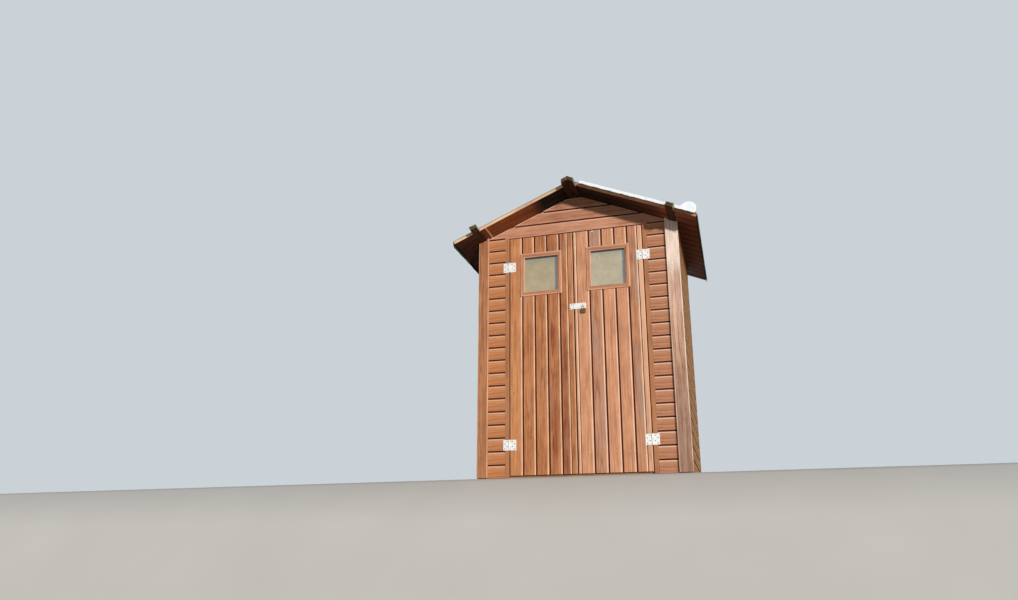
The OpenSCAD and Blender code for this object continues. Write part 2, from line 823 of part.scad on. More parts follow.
// Strap over the right leaf: the middle knuckle, bored for the pin, and the
// slot for the staple
module hasp_strap() color("silver")
    translate([hasp_x, hasp_y, hasp_z]) difference() {
        union() {
            translate([0, hasp_face - hasp_t - staple_base, 0])
                along_y(0, hasp_t) difference() {
                    round_end(hasp_strap_w, hasp_h, strap_round);
                    translate([staple_x, 0])
                        square([staple_d + 2 * slot_play,
                            staple_eye + 2 * staple_d + 2 * slot_play], center = true);
                }
            translate([0, 0, -hasp_k / 2]) cylinder(h = hasp_k, r = hasp_barrel_r);
        }
        translate([0, 0, -hasp_k / 2 - over])
            cylinder(h = hasp_k + 2 * over, r = hasp_pin_r);
        for (s = [0, 1]) mirror([0, 0, s])
            translate([-hasp_barrel_r - over, -hasp_barrel_r, hasp_k / 2])
                cube([2 * hasp_barrel_r + over + notch_gap,
                    2 * hasp_barrel_r + hasp_gap + over, hasp_h]);
    }

// Staple on its own plate under the strap: a U of round wire
module hasp_staple() color("silver")
    translate([staple_cx, 0, hasp_z]) {
        translate([-staple_plate_w / 2, front - staple_base,
                staple_plate_in - hasp_h / 2])
            cube([staple_plate_w, staple_base, hasp_h - 2 * staple_plate_in]);
        for (s = [-1, 1])
            translate([0, staple_yc, s * staple_r]) rotate([-90, 0, 0])
                cylinder(h = front - staple_yc, r = staple_d / 2);
        translate([0, staple_yc, 0]) rotate([0, 90, 0]) intersection() {
            rotate_extrude() translate([staple_r, 0]) circle(r = staple_d / 2);
            translate([-2 * staple_r, -2 * staple_r, -staple_d])
                cube([4 * staple_r, 2 * staple_r, 2 * staple_d]);
        }
    }

module padlock_shackle() color("gainsboro")
    translate([staple_cx, shackle_y, shackle_zc]) {
        rotate([90, 0, 0]) intersection() {
            rotate_extrude() translate([lock_r, 0]) circle(r = shackle_d / 2);
            translate([-2 * lock_r, 0, -shackle_d])
                cube([4 * lock_r, 2 * lock_r, 2 * shackle_d]);
        }
        for (s = [-1, 1]) translate([s * lock_r, 0, -shackle_leg])
            cylinder(h = shackle_leg, r = shackle_d / 2);
    }

// Body of the padlock, with its lower corners rounded and a key slot
module padlock_body() color("goldenrod")
    translate([staple_cx, shackle_y, lock_top]) difference() {
        along_y(-lock_t / 2, lock_t / 2)
            rotate(-90) round_end(lock_h, lock_w, lock_round);
        translate([-key_slot_w / 2, -key_slot_t / 2, -lock_h - over])
            cube([key_slot_w, key_slot_t, key_slot_d + over]);
    }

// Drawing

bearers();
floor_boards();
sole_plates();
corner_posts();
wall_plates();
gable_studs();
jamb_left();
jamb_right();
door_header();
cladding_front_left();
cladding_front_right();
cladding_front_gable();
cladding_back();
cladding_left();
cladding_right();
corner_board_left();
corner_board_right();
corner_boards_back();
ridge_purlin();
eaves_purlin_left();
eaves_purlin_right();
roof_boards_left();
roof_boards_right();
roof_felt_left();
roof_felt_right();
ridge_felt();
roof_sheet_right();
hinge_plates_frame_left();
hinge_plates_frame_right();
left_leaf_boards();
left_leaf_ledges();
left_window_moulding();
left_window_glass();
left_window_bead();
hinge_plates_leaf_left();
hasp_plate();
right_leaf_boards();
right_leaf_ledges();
right_window_moulding();
right_window_glass();
right_window_bead();
hinge_plates_leaf_right();
hasp_strap();
hasp_staple();
padlock_body();
padlock_shackle();
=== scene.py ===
"""Looks of the double-door garden tool shed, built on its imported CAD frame.

Lengths are in metres in the CAD frame: +X right, -Y front, +Z up, and the origin
in the middle of the base.
"""

from __future__ import annotations

import logging
import math
import random
from collections.abc import Callable, Iterable, Sequence
from dataclasses import dataclass, field
from enum import Enum
from functools import partial

import bmesh
import bpy
from mathutils import Matrix, Vector


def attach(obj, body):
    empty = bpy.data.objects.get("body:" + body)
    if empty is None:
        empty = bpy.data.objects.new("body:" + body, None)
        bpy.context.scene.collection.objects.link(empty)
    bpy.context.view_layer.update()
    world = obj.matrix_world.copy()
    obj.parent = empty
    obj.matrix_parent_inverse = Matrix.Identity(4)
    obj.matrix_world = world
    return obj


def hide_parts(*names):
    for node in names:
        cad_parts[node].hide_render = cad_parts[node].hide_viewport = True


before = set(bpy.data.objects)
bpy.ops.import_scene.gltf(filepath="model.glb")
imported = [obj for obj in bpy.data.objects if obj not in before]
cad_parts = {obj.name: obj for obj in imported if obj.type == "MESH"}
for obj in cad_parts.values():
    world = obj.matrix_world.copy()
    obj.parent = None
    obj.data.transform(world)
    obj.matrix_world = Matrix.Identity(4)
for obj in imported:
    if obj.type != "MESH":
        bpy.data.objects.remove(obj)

LOG = logging.getLogger("shed")
MM = 0.001
X = Vector((1.0, 0.0, 0.0))
Y = Vector((0.0, 1.0, 0.0))
Z = Vector((0.0, 0.0, 1.0))
WOOD_SCALARS = ("tone", "wear", "sawn", "grey")
RGBA = {"data_type": "RGBA"}
SMOOTH = {"interpolation_type": "SMOOTHSTEP"}
Plane = tuple[Vector, Vector]
Rule = Callable[[float], float]
NodeMaker = Callable[..., bpy.types.Node]
SheetRule = Callable[[float, float], tuple[Vector, Vector]]


def linear(code: str) -> tuple[float, float, float, float]:
    """Turns an sRGB hex colour into linear RGBA.

    Args:
        code: six hex digits.

    Returns:
        Red, green, blue and alpha, with alpha 1.
    """
    parts = [int(code[i : i + 2], 16) / 255 for i in (0, 2, 4)]
    lit = [c / 12.92 if c <= 0.04045 else ((c + 0.055) / 1.055) ** 2.4 for c in parts]
    return (lit[0], lit[1], lit[2], 1.0)


def add_node(
    tree: bpy.types.NodeTree,
    kind: str,
    inputs: dict[str | int, object] | None = None,
    **settings: object,
) -> bpy.types.Node:
    """Adds one node to a shader or geometry tree.

    Args:
        tree: the node tree.
        kind: the node's type name, where ShaderNode may be left off its start.
        inputs: for each input, by name or number, a value, an output socket, or a
            node whose first output in use is meant.
        **settings: properties of the node itself.

    Returns:
        The new node.
    """
    node = tree.nodes.new(kind if "Node" in kind else f"ShaderNode{kind}")
    for key, value in settings.items():
        setattr(node, key, value)
    for key, value in (inputs or {}).items():
        if isinstance(value, bpy.types.Node):
            value = next(socket for socket in value.outputs if socket.enabled)
        if isinstance(value, bpy.types.NodeSocket):
            tree.links.new(value, node.inputs[key])
        else:
            node.inputs[key].default_value = value
    return node


def new_material(
    name: str, surface: Callable[[NodeMaker], bpy.types.Node]
) -> bpy.types.Material:
    """Makes a material.

    Args:
        name: the material's name.
        surface: builds its surface with the node maker that it is given.

    Returns:
        The material.
    """
    material = bpy.data.materials.new(name)
    material.use_nodes = True
    tree = material.node_tree
    tree.nodes.clear()
    add_node(tree, "OutputMaterial", {"Surface": surface(partial(add_node, tree))})
    return material


class GrainAxis(Enum):
    """Direction that the grain of a plain CAD timber runs in."""

    X = (0.0, 0.0, 0.0)
    Z = (0.0, math.pi / 2, 0.0)


@dataclass(frozen=True)
class Finish:
    """A surface of one kind of stuff, which each kind below describes."""

    name: str

    def material(self) -> bpy.types.Material:
        """Makes the material."""
        return new_material(self.name, self.surface)


@dataclass(frozen=True)
class WoodFinish(Finish):
    """Stained softwood: flat-sawn boards with the stain worn at the arrises.

    The wood's own place comes from the mesh: `grain` is metres along, across and
    into the board. `tone` is the board's own shade from 0 dark to 1 light, `wear` is
    how far the stain is rubbed off, which on some sunlit edges is a painted
    highlight, and under 0 how much dirt and painted shade lies there, `sawn` is 1 on
    end grain, and `grey` is how far the board has weathered.
    """

    dark: str
    light: str
    worn: str
    end: str = "3E1B0C"
    grey: str = "A58C7E"
    # Colour for wear under 0: dirt, and painted shade in joints and under the roof
    dirt_and_shade: str = "5A1A06"
    contrast: float = 0.85
    ring: float = 5 * MM
    rough: float = 0.62
    relief: float = 0.5 * MM

    def wood(
        self, node: NodeMaker, place: bpy.types.Node, scalars: dict[str, object]
    ) -> bpy.types.Node:
        """Builds the wood's surface.

        Args:
            node: adds a node to the material's tree.
            place: metres along, across and into the wood.
            scalars: the tone, wear, sawn and grey of the wood.

        Returns:
            The surface.
        """
        # Patterns, with their lengths along and across the grain in millimetres
        layers = {}
        for name, along, across, detail, roughness in (
            ("wander", 900, 160, 2.0, 0.45),
            ("streak", 330, 9, 3.0, 0.6),
            ("fibre", 110, 2.4, 3.0, 0.6),
            ("cloud", 150, 60, 4.0, 0.6),
            ("weather", 420, 55, 5.0, 0.65),
            ("spots", 4, 4, 3.0, 0.7),
        ):
            scale = (1 / (along * MM), 1 / (across * MM), 1 / (across * MM))
            noise = {"Scale": 1.0, "Detail": detail, "Roughness": roughness}
            noise["Vector"] = node("Mapping", {"Vector": place, "Scale": scale})
            layers[name] = node("TexNoise", noise)
        wander, fibre, cloud = layers["wander"], layers["fibre"], layers["cloud"]
        # Growth rings round a pith that lies outside the board
        bend = {0: wander.outputs["Color"], 1: (0.0, 0.03, 0.04), 2: place}
        bent = node("VectorMath", bend, operation="MULTIPLY_ADD")
        flat = node("VectorMath", {0: bent, 1: (0.0, 1.0, 1.0)}, operation="MULTIPLY")
        radius = node("VectorMath", {0: flat}, operation="LENGTH")
        turns = node("Math", {0: radius, 1: 2 * math.pi / self.ring}, operation="MULTIPLY")
        wave = node("Math", {0: turns}, operation="SINE")
        late = node("MapRange", {0: wave, 1: -0.2, 2: 1.0}, **SMOOTH)
        # Shade of the stain: the board's own tone, then streaks, rings and clouds
        shade = scalars["tone"]
        for source, middle, share in (
            (layers["streak"], 0.5, 1.25),
            (late, 0.4, -0.22),
            (fibre, 0.5, 0.8),
            (cloud, 0.5, 1.0),
        ):
            off = node("Math", {0: source, 1: middle}, operation="SUBTRACT")
            sum_up = {0: off, 1: share * self.contrast, 2: shade}
            shade = node("Math", sum_up, operation="MULTIPLY_ADD")
        # Knots are rare and stretched along the grain
        stretched = node("Mapping", {"Vector": place, "Scale": (1.5, 5.0, 1.0)})
        knot = node("TexVoronoi", {"Vector": stretched, "Scale": 1.6})
        # Weathered patches spread with the board's own grey, worn arrises break up
        spread = {0: scalars["grey"], 1: 0.4, 2: layers["weather"]}
        weathered = node("Math", spread, operation="MULTIPLY_ADD")
        patch = node("Math", {0: fibre, 1: cloud}, operation="ADD")
        knots, greyed, broken = (
            node("MapRange", {0: source, 1: low, 2: high, 3: least, 4: most}, **SMOOTH)
            for source, low, high, least, most in (
                (knot, 0.03, 0.015, 0.0, 0.8),
                (weathered, 0.56, 0.86, 0.0, 0.85),
                (patch, 0.7, 1.2, 0.5, 1.0),
            )
        )
        # Wear over 0 rubs the stain pale, in places a painted highlight; wear under 0 darkens it
        # towards the dirt colour, partly painted shade
        rubbed = node("Math", {0: scalars["wear"], 1: broken}, operation="MULTIPLY")
        darkened = node("Math", {0: scalars["wear"], 1: -1.0}, operation="MULTIPLY")
        dark, end = linear(self.dark), linear(self.end)
        end_shade = node("Mix", {0: layers["spots"], 6: end, 7: dark}, **RGBA)
        # Colours laid over one another, the stain first and the end grain last
        colour = dark
        for factor, paint in (
            (shade, linear(self.light)),
            (knots, end),
            (greyed, linear(self.grey)),
            (rubbed, linear(self.worn)),
            (darkened, linear(self.dirt_and_shade)),
            (scalars["sawn"], end_shade),
        ):
            colour = node("Mix", {0: factor, 6: colour, 7: paint}, clamp_factor=True, **RGBA)
        height = node("Math", {0: late, 1: 0.45, 2: fibre}, operation="MULTIPLY_ADD")
        bump = node("Bump", {"Strength": 0.6, "Distance": self.relief, "Height": height})
        rough = {0: cloud, 1: 0.3, 2: 0.7, 3: self.rough - 0.07, 4: self.rough + 0.09}
        skin = {"Base Color": colour, "Roughness": node("MapRange", rough)}
        return node("BsdfPrincipled", {**skin, "Specular IOR Level": 0.16, "Normal": bump})

    def surface(self, node: NodeMaker) -> bpy.types.Node:
        """Builds the surface of boards that carry their own grain.

        Args:
            node: adds a node to the material's tree.

        Returns:
            The surface.
        """
        names = ("grain", *WOOD_SCALARS)
        read = {name: node("Attribute", attribute_name=name).outputs for name in names}
        own = node("SeparateXYZ", {0: read["grain"]["Vector"]}).outputs
        scalars = {name: read[name]["Fac"] for name in WOOD_SCALARS}
        # The board's own tone moves its pattern along, so that no two boards match
        shift = {0: scalars["tone"], 1: 37.0, 2: own[0]}
        far = node("Math", shift, operation="MULTIPLY_ADD")
        scalars["tone"] = node("MapRange", {0: scalars["tone"], 3: 0.15, 4: 0.9})
        return self.wood(node, node("CombineXYZ", {0: far, 1: own[1], 2: own[2]}), scalars)

    def along(self, axis: GrainAxis, board: float = 0.0) -> bpy.types.Material:
        """Makes the finish for a CAD timber, whose grain runs along one axis.

        Args:
            axis: the direction of the grain.
            board: the width of each separate board, or 0 for single timbers.

        Returns:
            The material.
        """

        def surface(node: NodeMaker) -> bpy.types.Node:
            """Builds the surface, with a tone for each board."""
            spot = node("TexCoord").outputs["Object"]
            place = node("Mapping", {"Vector": spot, "Rotation": axis.value})
            scalars = {"tone": 0.5, "wear": 0.0, "sawn": 0.0, "grey": 0.1}
            if board:
                across = node("SeparateXYZ", {0: place}).outputs[1]
                row = node("Math", {0: across, 1: 1 / board}, operation="MULTIPLY")
                number = node("Math", {0: row}, operation="FLOOR")
                chance = node("TexWhiteNoise", {"W": number}, noise_dimensions="1D")
                scalars["tone"] = node("MapRange", {0: chance, 3: 0.3, 4: 0.75})
            return self.wood(node, place, scalars)

        return new_material(f"{self.name}_{axis.name.lower()}", surface)


@dataclass(frozen=True)
class FeltFinish(Finish):
    """Mineral roofing felt: grit on bitumen, with pale scuffs and dust."""

    dark: str
    light: str
    dust: str
    grit: float = 1.6 * MM

    def surface(self, node: NodeMaker) -> bpy.types.Node:
        """Builds the felt's surface.

        Args:
            node: adds a node to the material's tree.

        Returns:
            The surface.
        """
        spot = node("TexCoord").outputs["Object"]
        grit = node("TexVoronoi", {"Vector": spot, "Scale": 1 / self.grit})
        noise = {"Vector": spot, "Scale": 4.0, "Detail": 5.0, "Roughness": 0.65}
        dusty = node("MapRange", {0: node("TexNoise", noise), 1: 0.48, 2: 0.78, 4: 0.55})
        shade = node("SeparateColor", {0: grit.outputs["Color"]})
        base = node("Mix", {0: shade, 6: linear(self.dark), 7: linear(self.light)}, **RGBA)
        colour = node("Mix", {0: dusty, 6: base, 7: linear(self.dust)}, **RGBA)
        bump = node("Bump", {"Strength": 0.5, "Distance": 0.6 * MM, "Height": grit})
        skin = {"Base Color": colour, "Roughness": 0.85, "Specular IOR Level": 0.25}
        return node("BsdfPrincipled", {**skin, "Normal": bump})


@dataclass(frozen=True)
class SheetFinish(Finish):
    """Pale woven roofing membrane with stained patches."""

    clean: str
    darkened: str
    thread: float = 3 * MM

    def surface(self, node: NodeMaker) -> bpy.types.Node:
        """Builds the membrane's surface.

        Args:
            node: adds a node to the material's tree.

        Returns:
            The surface.
        """
        spot = node("TexCoord").outputs["Object"]
        noise = {"Vector": spot, "Scale": 7.0, "Detail": 6.0, "Roughness": 0.6}
        stains = node("MapRange", {0: node("TexNoise", noise), 1: 0.46, 2: 0.8, 4: 0.8})
        colour = node("Mix", {0: stains, 6: linear(self.clean), 7: linear(self.darkened)}, **RGBA)
        threads = {"Vector": spot, "Scale": 0.05 / self.thread, "Distortion": 1.0}
        weave = node("TexWave", threads, bands_direction="Y").outputs["Fac"]
        bump = node("Bump", {"Strength": 0.25, "Distance": 0.4 * MM, "Height": weave})
        return node("BsdfPrincipled", {"Base Color": colour, "Roughness": 0.5, "Normal": bump})


@dataclass(frozen=True)
class GlassFinish(Finish):
    """Old window pane under a film of dust, with painted shade down the right and a painted sky
    reflection at the top.
    """

    dust: str
    centre: tuple[float, float, float]
    scratched: float
    painted_shade_reflection: str = "6F7A80"
    half: tuple[float, float] = (0.118, 0.129)

    def surface(self, node: NodeMaker) -> bpy.types.Node:
        """Builds the dusty pane's surface.

        Args:
            node: adds a node to the material's tree.

        Returns:
            The surface.
        """
        spot = node("TexCoord").outputs["Object"]
        local = node("VectorMath", {0: spot, 1: self.centre}, operation="SUBTRACT")
        split = node("SeparateXYZ", {0: local}).outputs
        # Painted shade down the right edge and a painted sky reflection at the top: metres short of
        # the edge where each starts and where it is full
        wide, high = self.half
        right = {0: split[0], 1: wide - 24 * MM, 2: wide - 14 * MM}
        top = {0: split[2], 1: high - 70 * MM, 2: high - 8 * MM, 4: 0.45}
        near = {0: node("MapRange", right, **SMOOTH), 1: node("MapRange", top)}
        edge = node("Math", near, operation="MAXIMUM")
        # Painted shadow: a near-black band on the pane under the moulding's top piece
        painted_shadow_band = {0: split[2], 1: high - 17 * MM, 2: high - 12 * MM, 4: 0.94}
        shadow_under_top = node("MapRange", painted_shadow_band, **SMOOTH)
        noise = {"Vector": spot, "Scale": 14.0, "Detail": 6.0, "Roughness": 0.62}
        cloud = node("TexNoise", noise)
        wiped = node("MapRange", {0: cloud, 1: 0.3, 2: 0.75, 4: 0.2})
        tilt = {"Vector": local, "Rotation": (0.0, 0.45, 0.0), "Scale": (220.0, 1.0, 26.0)}
        lines = {"Vector": node("Mapping", tilt), "Scale": 1.0, "Detail": 0.0}
        scratch = node("TexNoise", lines)
        marks = node("MapRange", {0: scratch, 1: 0.76, 2: 0.82, 4: self.scratched})
        colour = linear(self.dust)
        for factor, paint in (
            (edge, self.painted_shade_reflection),
            (wiped, "6F6A55"),
            (marks, "E6E0C8"),
            (shadow_under_top, "140804"),
        ):
            colour = node("Mix", {0: factor, 6: colour, 7: linear(paint)}, **RGBA)
        film = {"Base Color": colour, "Roughness": 0.34, "Coat Weight": 0.5}
        dust = node("BsdfPrincipled", {**film, "Coat Roughness": 0.08})
        glass = {"Base Color": linear("DDE6E4"), "Roughness": 0.03, "Transmission Weight": 1.0}
        thin = node("MapRange", {0: cloud, 1: 0.35, 2: 0.65, 3: 0.06, 4: 0.16})
        return node("MixShader", {0: thin, 1: dust, 2: node("BsdfPrincipled", glass)})


@dataclass(frozen=True)
class MetalFinish(Finish):
    """Metal with a dull skin: zinc bloom, brass tarnish or rust in patches."""

    bright: str
    dull: str
    patch: str
    rough: float
    metallic: float
    spangle: float = 9 * MM
    patches: float = 0.3

    def surface(self, node: NodeMaker) -> bpy.types.Node:
        """Builds the metal's surface.

        Args:
            node: adds a node to the material's tree.

        Returns:
            The surface.
        """
        spot = node("TexCoord").outputs["Object"]
        spangle = node("TexVoronoi", {"Vector": spot, "Scale": 1 / self.spangle})
        shade = node("SeparateColor", {0: spangle.outputs["Color"]})
        base = node("Mix", {0: shade, 6: linear(self.bright), 7: linear(self.dull)}, **RGBA)
        noise = {"Vector": spot, "Scale": 110.0, "Detail": 5.0, "Roughness": 0.65}
        cloud = node("TexNoise", noise)
        mask = node("MapRange", {0: cloud, 1: 0.55, 2: 0.7, 4: self.patches})
        colour = node("Mix", {0: mask, 6: base, 7: linear(self.patch)}, **RGBA)
        rough = {0: cloud, 1: 0.3, 2: 0.7, 3: self.rough - 0.08, 4: self.rough + 0.14}
        bump = node("Bump", {"Strength": 0.15, "Distance": 0.2 * MM, "Height": cloud})
        skin = {"Base Color": colour, "Metallic": self.metallic, "Normal": bump}
        return node("BsdfPrincipled", {**skin, "Roughness": node("MapRange", rough)})


def placed(
    origin: Sequence[float], along: Sequence[float], across: Sequence[float], out: Sequence[float]
) -> Matrix:
    """Builds the matrix that lays a board down.

    Args:
        origin: where the board's low edge starts on the face.
        along: direction of the board's length.
        across: direction of its width.
        out: direction that its face looks in.

    Returns:
        A matrix from (along, across, out) metres to the frame.
    """
    columns = Matrix((along, across, out)).transposed().to_4x4()
    return Matrix.Translation(Vector(origin)) @ columns


def ring_faces(rings: Sequence[Sequence[int]]) -> list[list[int]]:
    """Lays faces between rings of points, and one more at each end.

    Args:
        rings: the points' numbers, ring by ring.

    Returns:
        The faces, with the two ends last.
    """
    faces = []
    for one, two in zip(rings, rings[1:]):
        for i in range(len(one)):
            j = (i + 1) % len(one)
            faces.append([one[i], one[j], two[j], two[i]])
    return [*faces, list(reversed(rings[0])), list(rings[-1])]


class Timber:
    """Points, faces and wood attributes of one piece while it is being made."""

    def __init__(self, *meshes: bpy.types.Mesh) -> None:
        """Starts with copies of finished meshes and their attributes.

        Args:
            *meshes: the meshes, if any.
        """
        self.points: list[Vector] = []
        self.faces: list[list[int]] = []
        self.grain: list[tuple[float, ...]] = []
        self.scalars: dict[str, list[float]] = {name: [] for name in WOOD_SCALARS}
        for mesh in meshes:
            start = len(self.points)
            self.points += [vertex.co.copy() for vertex in mesh.vertices]
            self.grain += [tuple(item.vector) for item in mesh.attributes["grain"].data]
            for name in WOOD_SCALARS:
                layer = mesh.attributes.get(name)
                plain = [0.0] * len(mesh.vertices)
                self.scalars[name] += [item.value for item in layer.data] if layer else plain
            self.faces += [[start + v for v in face.vertices] for face in mesh.polygons]

    def point(
        self,
        spot: Vector,
        grain: Sequence[float],
        tone: float,
        wear: float,
        sawn: float = 0.0,
        grey: float = 0.0,
    ) -> int:
        """Adds one point.

        Args:
            spot: its place in the frame.
            grain: metres along, across and into the wood.
            tone: the board's shade.
            wear: how far the stain is rubbed off.
            sawn: 1 on end grain.
            grey: how far the board has weathered.

        Returns:
            The point's number.
        """
        self.points.append(spot)
        self.grain.append(tuple(grain))
        for name, value in zip(WOOD_SCALARS, (tone, wear, sawn, grey)):
            self.scalars[name].append(value)
        return len(self.points) - 1

    def sweep(
        self,
        section: Sequence[tuple[float, float, float]],
        stops: Sequence[float],
        place: Matrix,
        tone: float,
        pith: tuple[float, float, float],
        warp: Callable[[float], tuple[float, float]] = lambda stop: (0.0, 0.0),
        grey: float = 0.0,
        fade: Rule = lambda stop: 0.0,
    ) -> None:
        """Adds one board: a section carried along a straight or slightly bent line.

        Args:
            section: corners as metres across, metres into the board, and wear.
            stops: places along the board, from end to end.
            place: the matrix that lays the board down.
            tone: the board's shade.
            pith: shift of the grain along, across and into the board.
            warp: shift across and out at a place along the board.
            grey: how far the board has weathered.
            fade: wear, or dirt and painted shade under 0, added at a place along the board.
        """
        lip = 1.5 * MM
        low, high = stops[0], stops[-1]
        rings = []
        for stop in (low, low + lip, *stops[1:-1], high - lip, high):
            shift, more = warp(stop), fade(stop)
            ring = []
            for across, depth, wear in section:
                spot = place @ Vector((stop, across + shift[0], shift[1] - depth))
                grain = (stop + pith[0], across + pith[1], depth + pith[2])
                total = max(-1.0, min(1.0, wear + more))
                sawn = float(stop in (low, high))
                ring.append(self.point(spot, grain, tone, total, sawn, grey))
            rings.append(ring)
        self.faces += ring_faces(rings)

    def mesh(self) -> bpy.types.Mesh:
        """Makes the mesh, with its wood attributes and its faces turned outwards."""
        mesh = closed_mesh(self.points, self.faces)
        layer = mesh.attributes.new("grain", "FLOAT_VECTOR", "POINT")
        layer.data.foreach_set("vector", [c for g in self.grain for c in g])
        for scalar in WOOD_SCALARS:
            layer = mesh.attributes.new(scalar, "FLOAT", "POINT")
            layer.data.foreach_set("value", self.scalars[scalar])
        return mesh

    def piece(self, name: str, material: bpy.types.Material) -> bpy.types.Object:
        """Makes the finished object, at the origin."""
        return new_piece(name, self.mesh(), material)


def closed_mesh(
    points: Sequence[Sequence[float]], faces: Sequence[Sequence[int]]
) -> bpy.types.Mesh:
    """Makes a mesh of closed shells, with its faces turned outwards.

    Args:
        points: its points.
        faces: the points' numbers, face by face.

    Returns:
        The mesh.
    """
    mesh = bpy.data.meshes.new("part")
    mesh.from_pydata(points, [], faces)
    shape = bmesh.new()
    shape.from_mesh(mesh)
    bmesh.ops.recalc_face_normals(shape, faces=shape.faces)
    shape.to_mesh(mesh)
    shape.free()
    return mesh


def new_object(name: str, data: bpy.types.ID) -> bpy.types.Object:
    """Puts a mesh, lamp or camera into the scene under a name."""
    made = bpy.data.objects.new(name, data)
    bpy.context.scene.collection.objects.link(made)
    return made


def new_piece(
    name: str, mesh: bpy.types.Mesh, material: bpy.types.Material, smooth: bool = False
) -> bpy.types.Object:
    """Puts a finished mesh into the scene.

    Args:
        name: the piece's name.
        mesh: the mesh, in the frame.
        material: its finish.
        smooth: whether its faces are shaded smooth.

    Returns:
        The object, at the origin.
    """
    mesh.name = name
    mesh.materials.clear()
    mesh.materials.append(material)
    mesh.polygons.foreach_set("use_smooth", [smooth] * len(mesh.polygons))
    return new_object(name, mesh)


def trimmed(mesh: bpy.types.Mesh, planes: Iterable[Plane]) -> bpy.types.Mesh:
    """Cuts a copy of a mesh of closed shells off at some planes.

    Args:
        mesh: the mesh to copy.
        planes: a point and the outward normal of each plane.

    Returns:
        The closed rest inside all the planes.
    """
    shape = bmesh.new()
    shape.from_mesh(mesh)
    for point, normal in planes:
        cut = {"plane_co": point, "plane_no": normal, "dist": 1e-6, "clear_outer": True}
        bmesh.ops.bisect_plane(shape, geom=[*shape.verts, *shape.edges, *shape.faces], **cut)
        open_edges = [edge for edge in shape.edges if edge.is_boundary]
        if open_edges:
            bmesh.ops.holes_fill(shape, edges=open_edges, sides=0)
    rest = bpy.data.meshes.new(mesh.name)
    shape.to_mesh(rest)
    shape.free()
    return rest


def without(mesh: bpy.types.Mesh, planes: Sequence[Plane]) -> bpy.types.Mesh:
    """Takes the convex room inside some planes out of a mesh of closed shells.

    Args:
        mesh: the mesh to cut.
        planes: a point and the outward normal of each side of the room.

    Returns:
        A mesh of what lies outside the room.
    """
    parts = []
    for point, normal in planes:
        parts.append(trimmed(mesh, [(point, -normal)]))
        mesh = trimmed(mesh, [(point, normal)])
    return Timber(*parts).mesh()


def stops_between(start: float, end: float, step: float) -> list[float]:
    """Gives even places from start to end, both included, about a step apart."""
    count = max(1, round((end - start) / step))
    return [start + (end - start) * i / count for i in range(count + 1)]


def curve(*knots: tuple[float, float]) -> Rule:
    """Makes a value that runs straight from knot to knot.

    Args:
        *knots: places and the values there, in order.

    Returns:
        A function from the place to its value.
    """

    def value(stop: float) -> float:
        """Value at one place."""
        for one, two in zip(knots, knots[1:]):
            if stop <= two[0]:
                share = max(0.0, (stop - one[0]) / (two[0] - one[0]))
                return one[1] + (two[1] - one[1]) * share
        return knots[-1][1]

    return value


def waver(seed: int, size: float, wave: float = 0.9) -> Callable[[float], tuple[float, float]]:
    """Makes the gentle bow of one board.

    Args:
        seed: which board.
        size: the largest shift.
        wave: the length of the bow.

    Returns:
        A function from the place along the board to its shift across and out.
    """
    chance = random.Random(seed)
    phase = [chance.uniform(0, 2 * math.pi) for _ in range(3)]

    def shift(stop: float) -> tuple[float, float]:
        """Shift of the board at one place."""
        turn = 2 * math.pi * stop / wave
        across = 0.5 * math.sin(turn + phase[0]) + 0.5 * math.sin(2.3 * turn + phase[1])
        out = -0.5 + 0.5 * math.sin(0.7 * turn + phase[2])
        return (across * size * 0.5, out * size)

    return shift


@dataclass(frozen=True)
class BoardShape:
    """Section of a shiplap board: square low edge, sloped high edge, and a lap."""

    cover: float
    thick: float
    slit: float = 11.5 * MM
    slope: float = 6 * MM
    slope_depth: float = 3 * MM
    slit_depth: float = 9 * MM
    lap: float = 6 * MM
    arris: float = 1.2 * MM
    play: float = 1.6 * MM
    worn: float = 1.0
    rebated: bool = True
    lapped: bool = True

    def section(self) -> list[tuple[float, float, float]]:
        """Corners as metres across, metres into the board, and wear."""
        edge = self.cover - (self.slit + self.slope if self.lapped else self.arris)
        soft = 5 * MM
        corners = [
            (0.0, self.arris, 0.2 * self.worn),
            (self.arris, 0.0, 0.3 * self.worn),
            (self.arris + soft, 0.0, 0.0),
            (edge / 2, 0.0, 0.0),
            (edge - soft, 0.0, 0.1 * self.worn),
            (edge, 0.0, 0.75 * self.worn),
        ]
        # Past the face, the arris and the slope down to the slit are worn pale, partly a painted
        # highlight of the sunlit edge; the slit and the back of the rebate take wear -1, dirt and
        # painted shade in the joint
        if self.lapped:
            foot, end = edge + self.slope, self.cover + self.lap
            corners += [
                (foot, self.slope_depth, self.worn),
                (foot, self.slope_depth + 1 * MM, -1.0),
                (foot, self.slit_depth, -1.0),
                (end, self.slit_depth, -1.0),
                (end, self.thick, 0.0),
            ]
        else:
            corners += [(self.cover, self.arris, 0.6 * self.worn), (self.cover, self.thick, 0.0)]
        if not self.rebated:
            return [*corners, (0.0, self.thick, 0.0)]
        inner, back = self.lap + 0.5 * MM, self.slit_depth + self.play
        return [*corners, (inner, self.thick, 0.0), (inner, back, 0.0), (0.0, back, -1.0)]


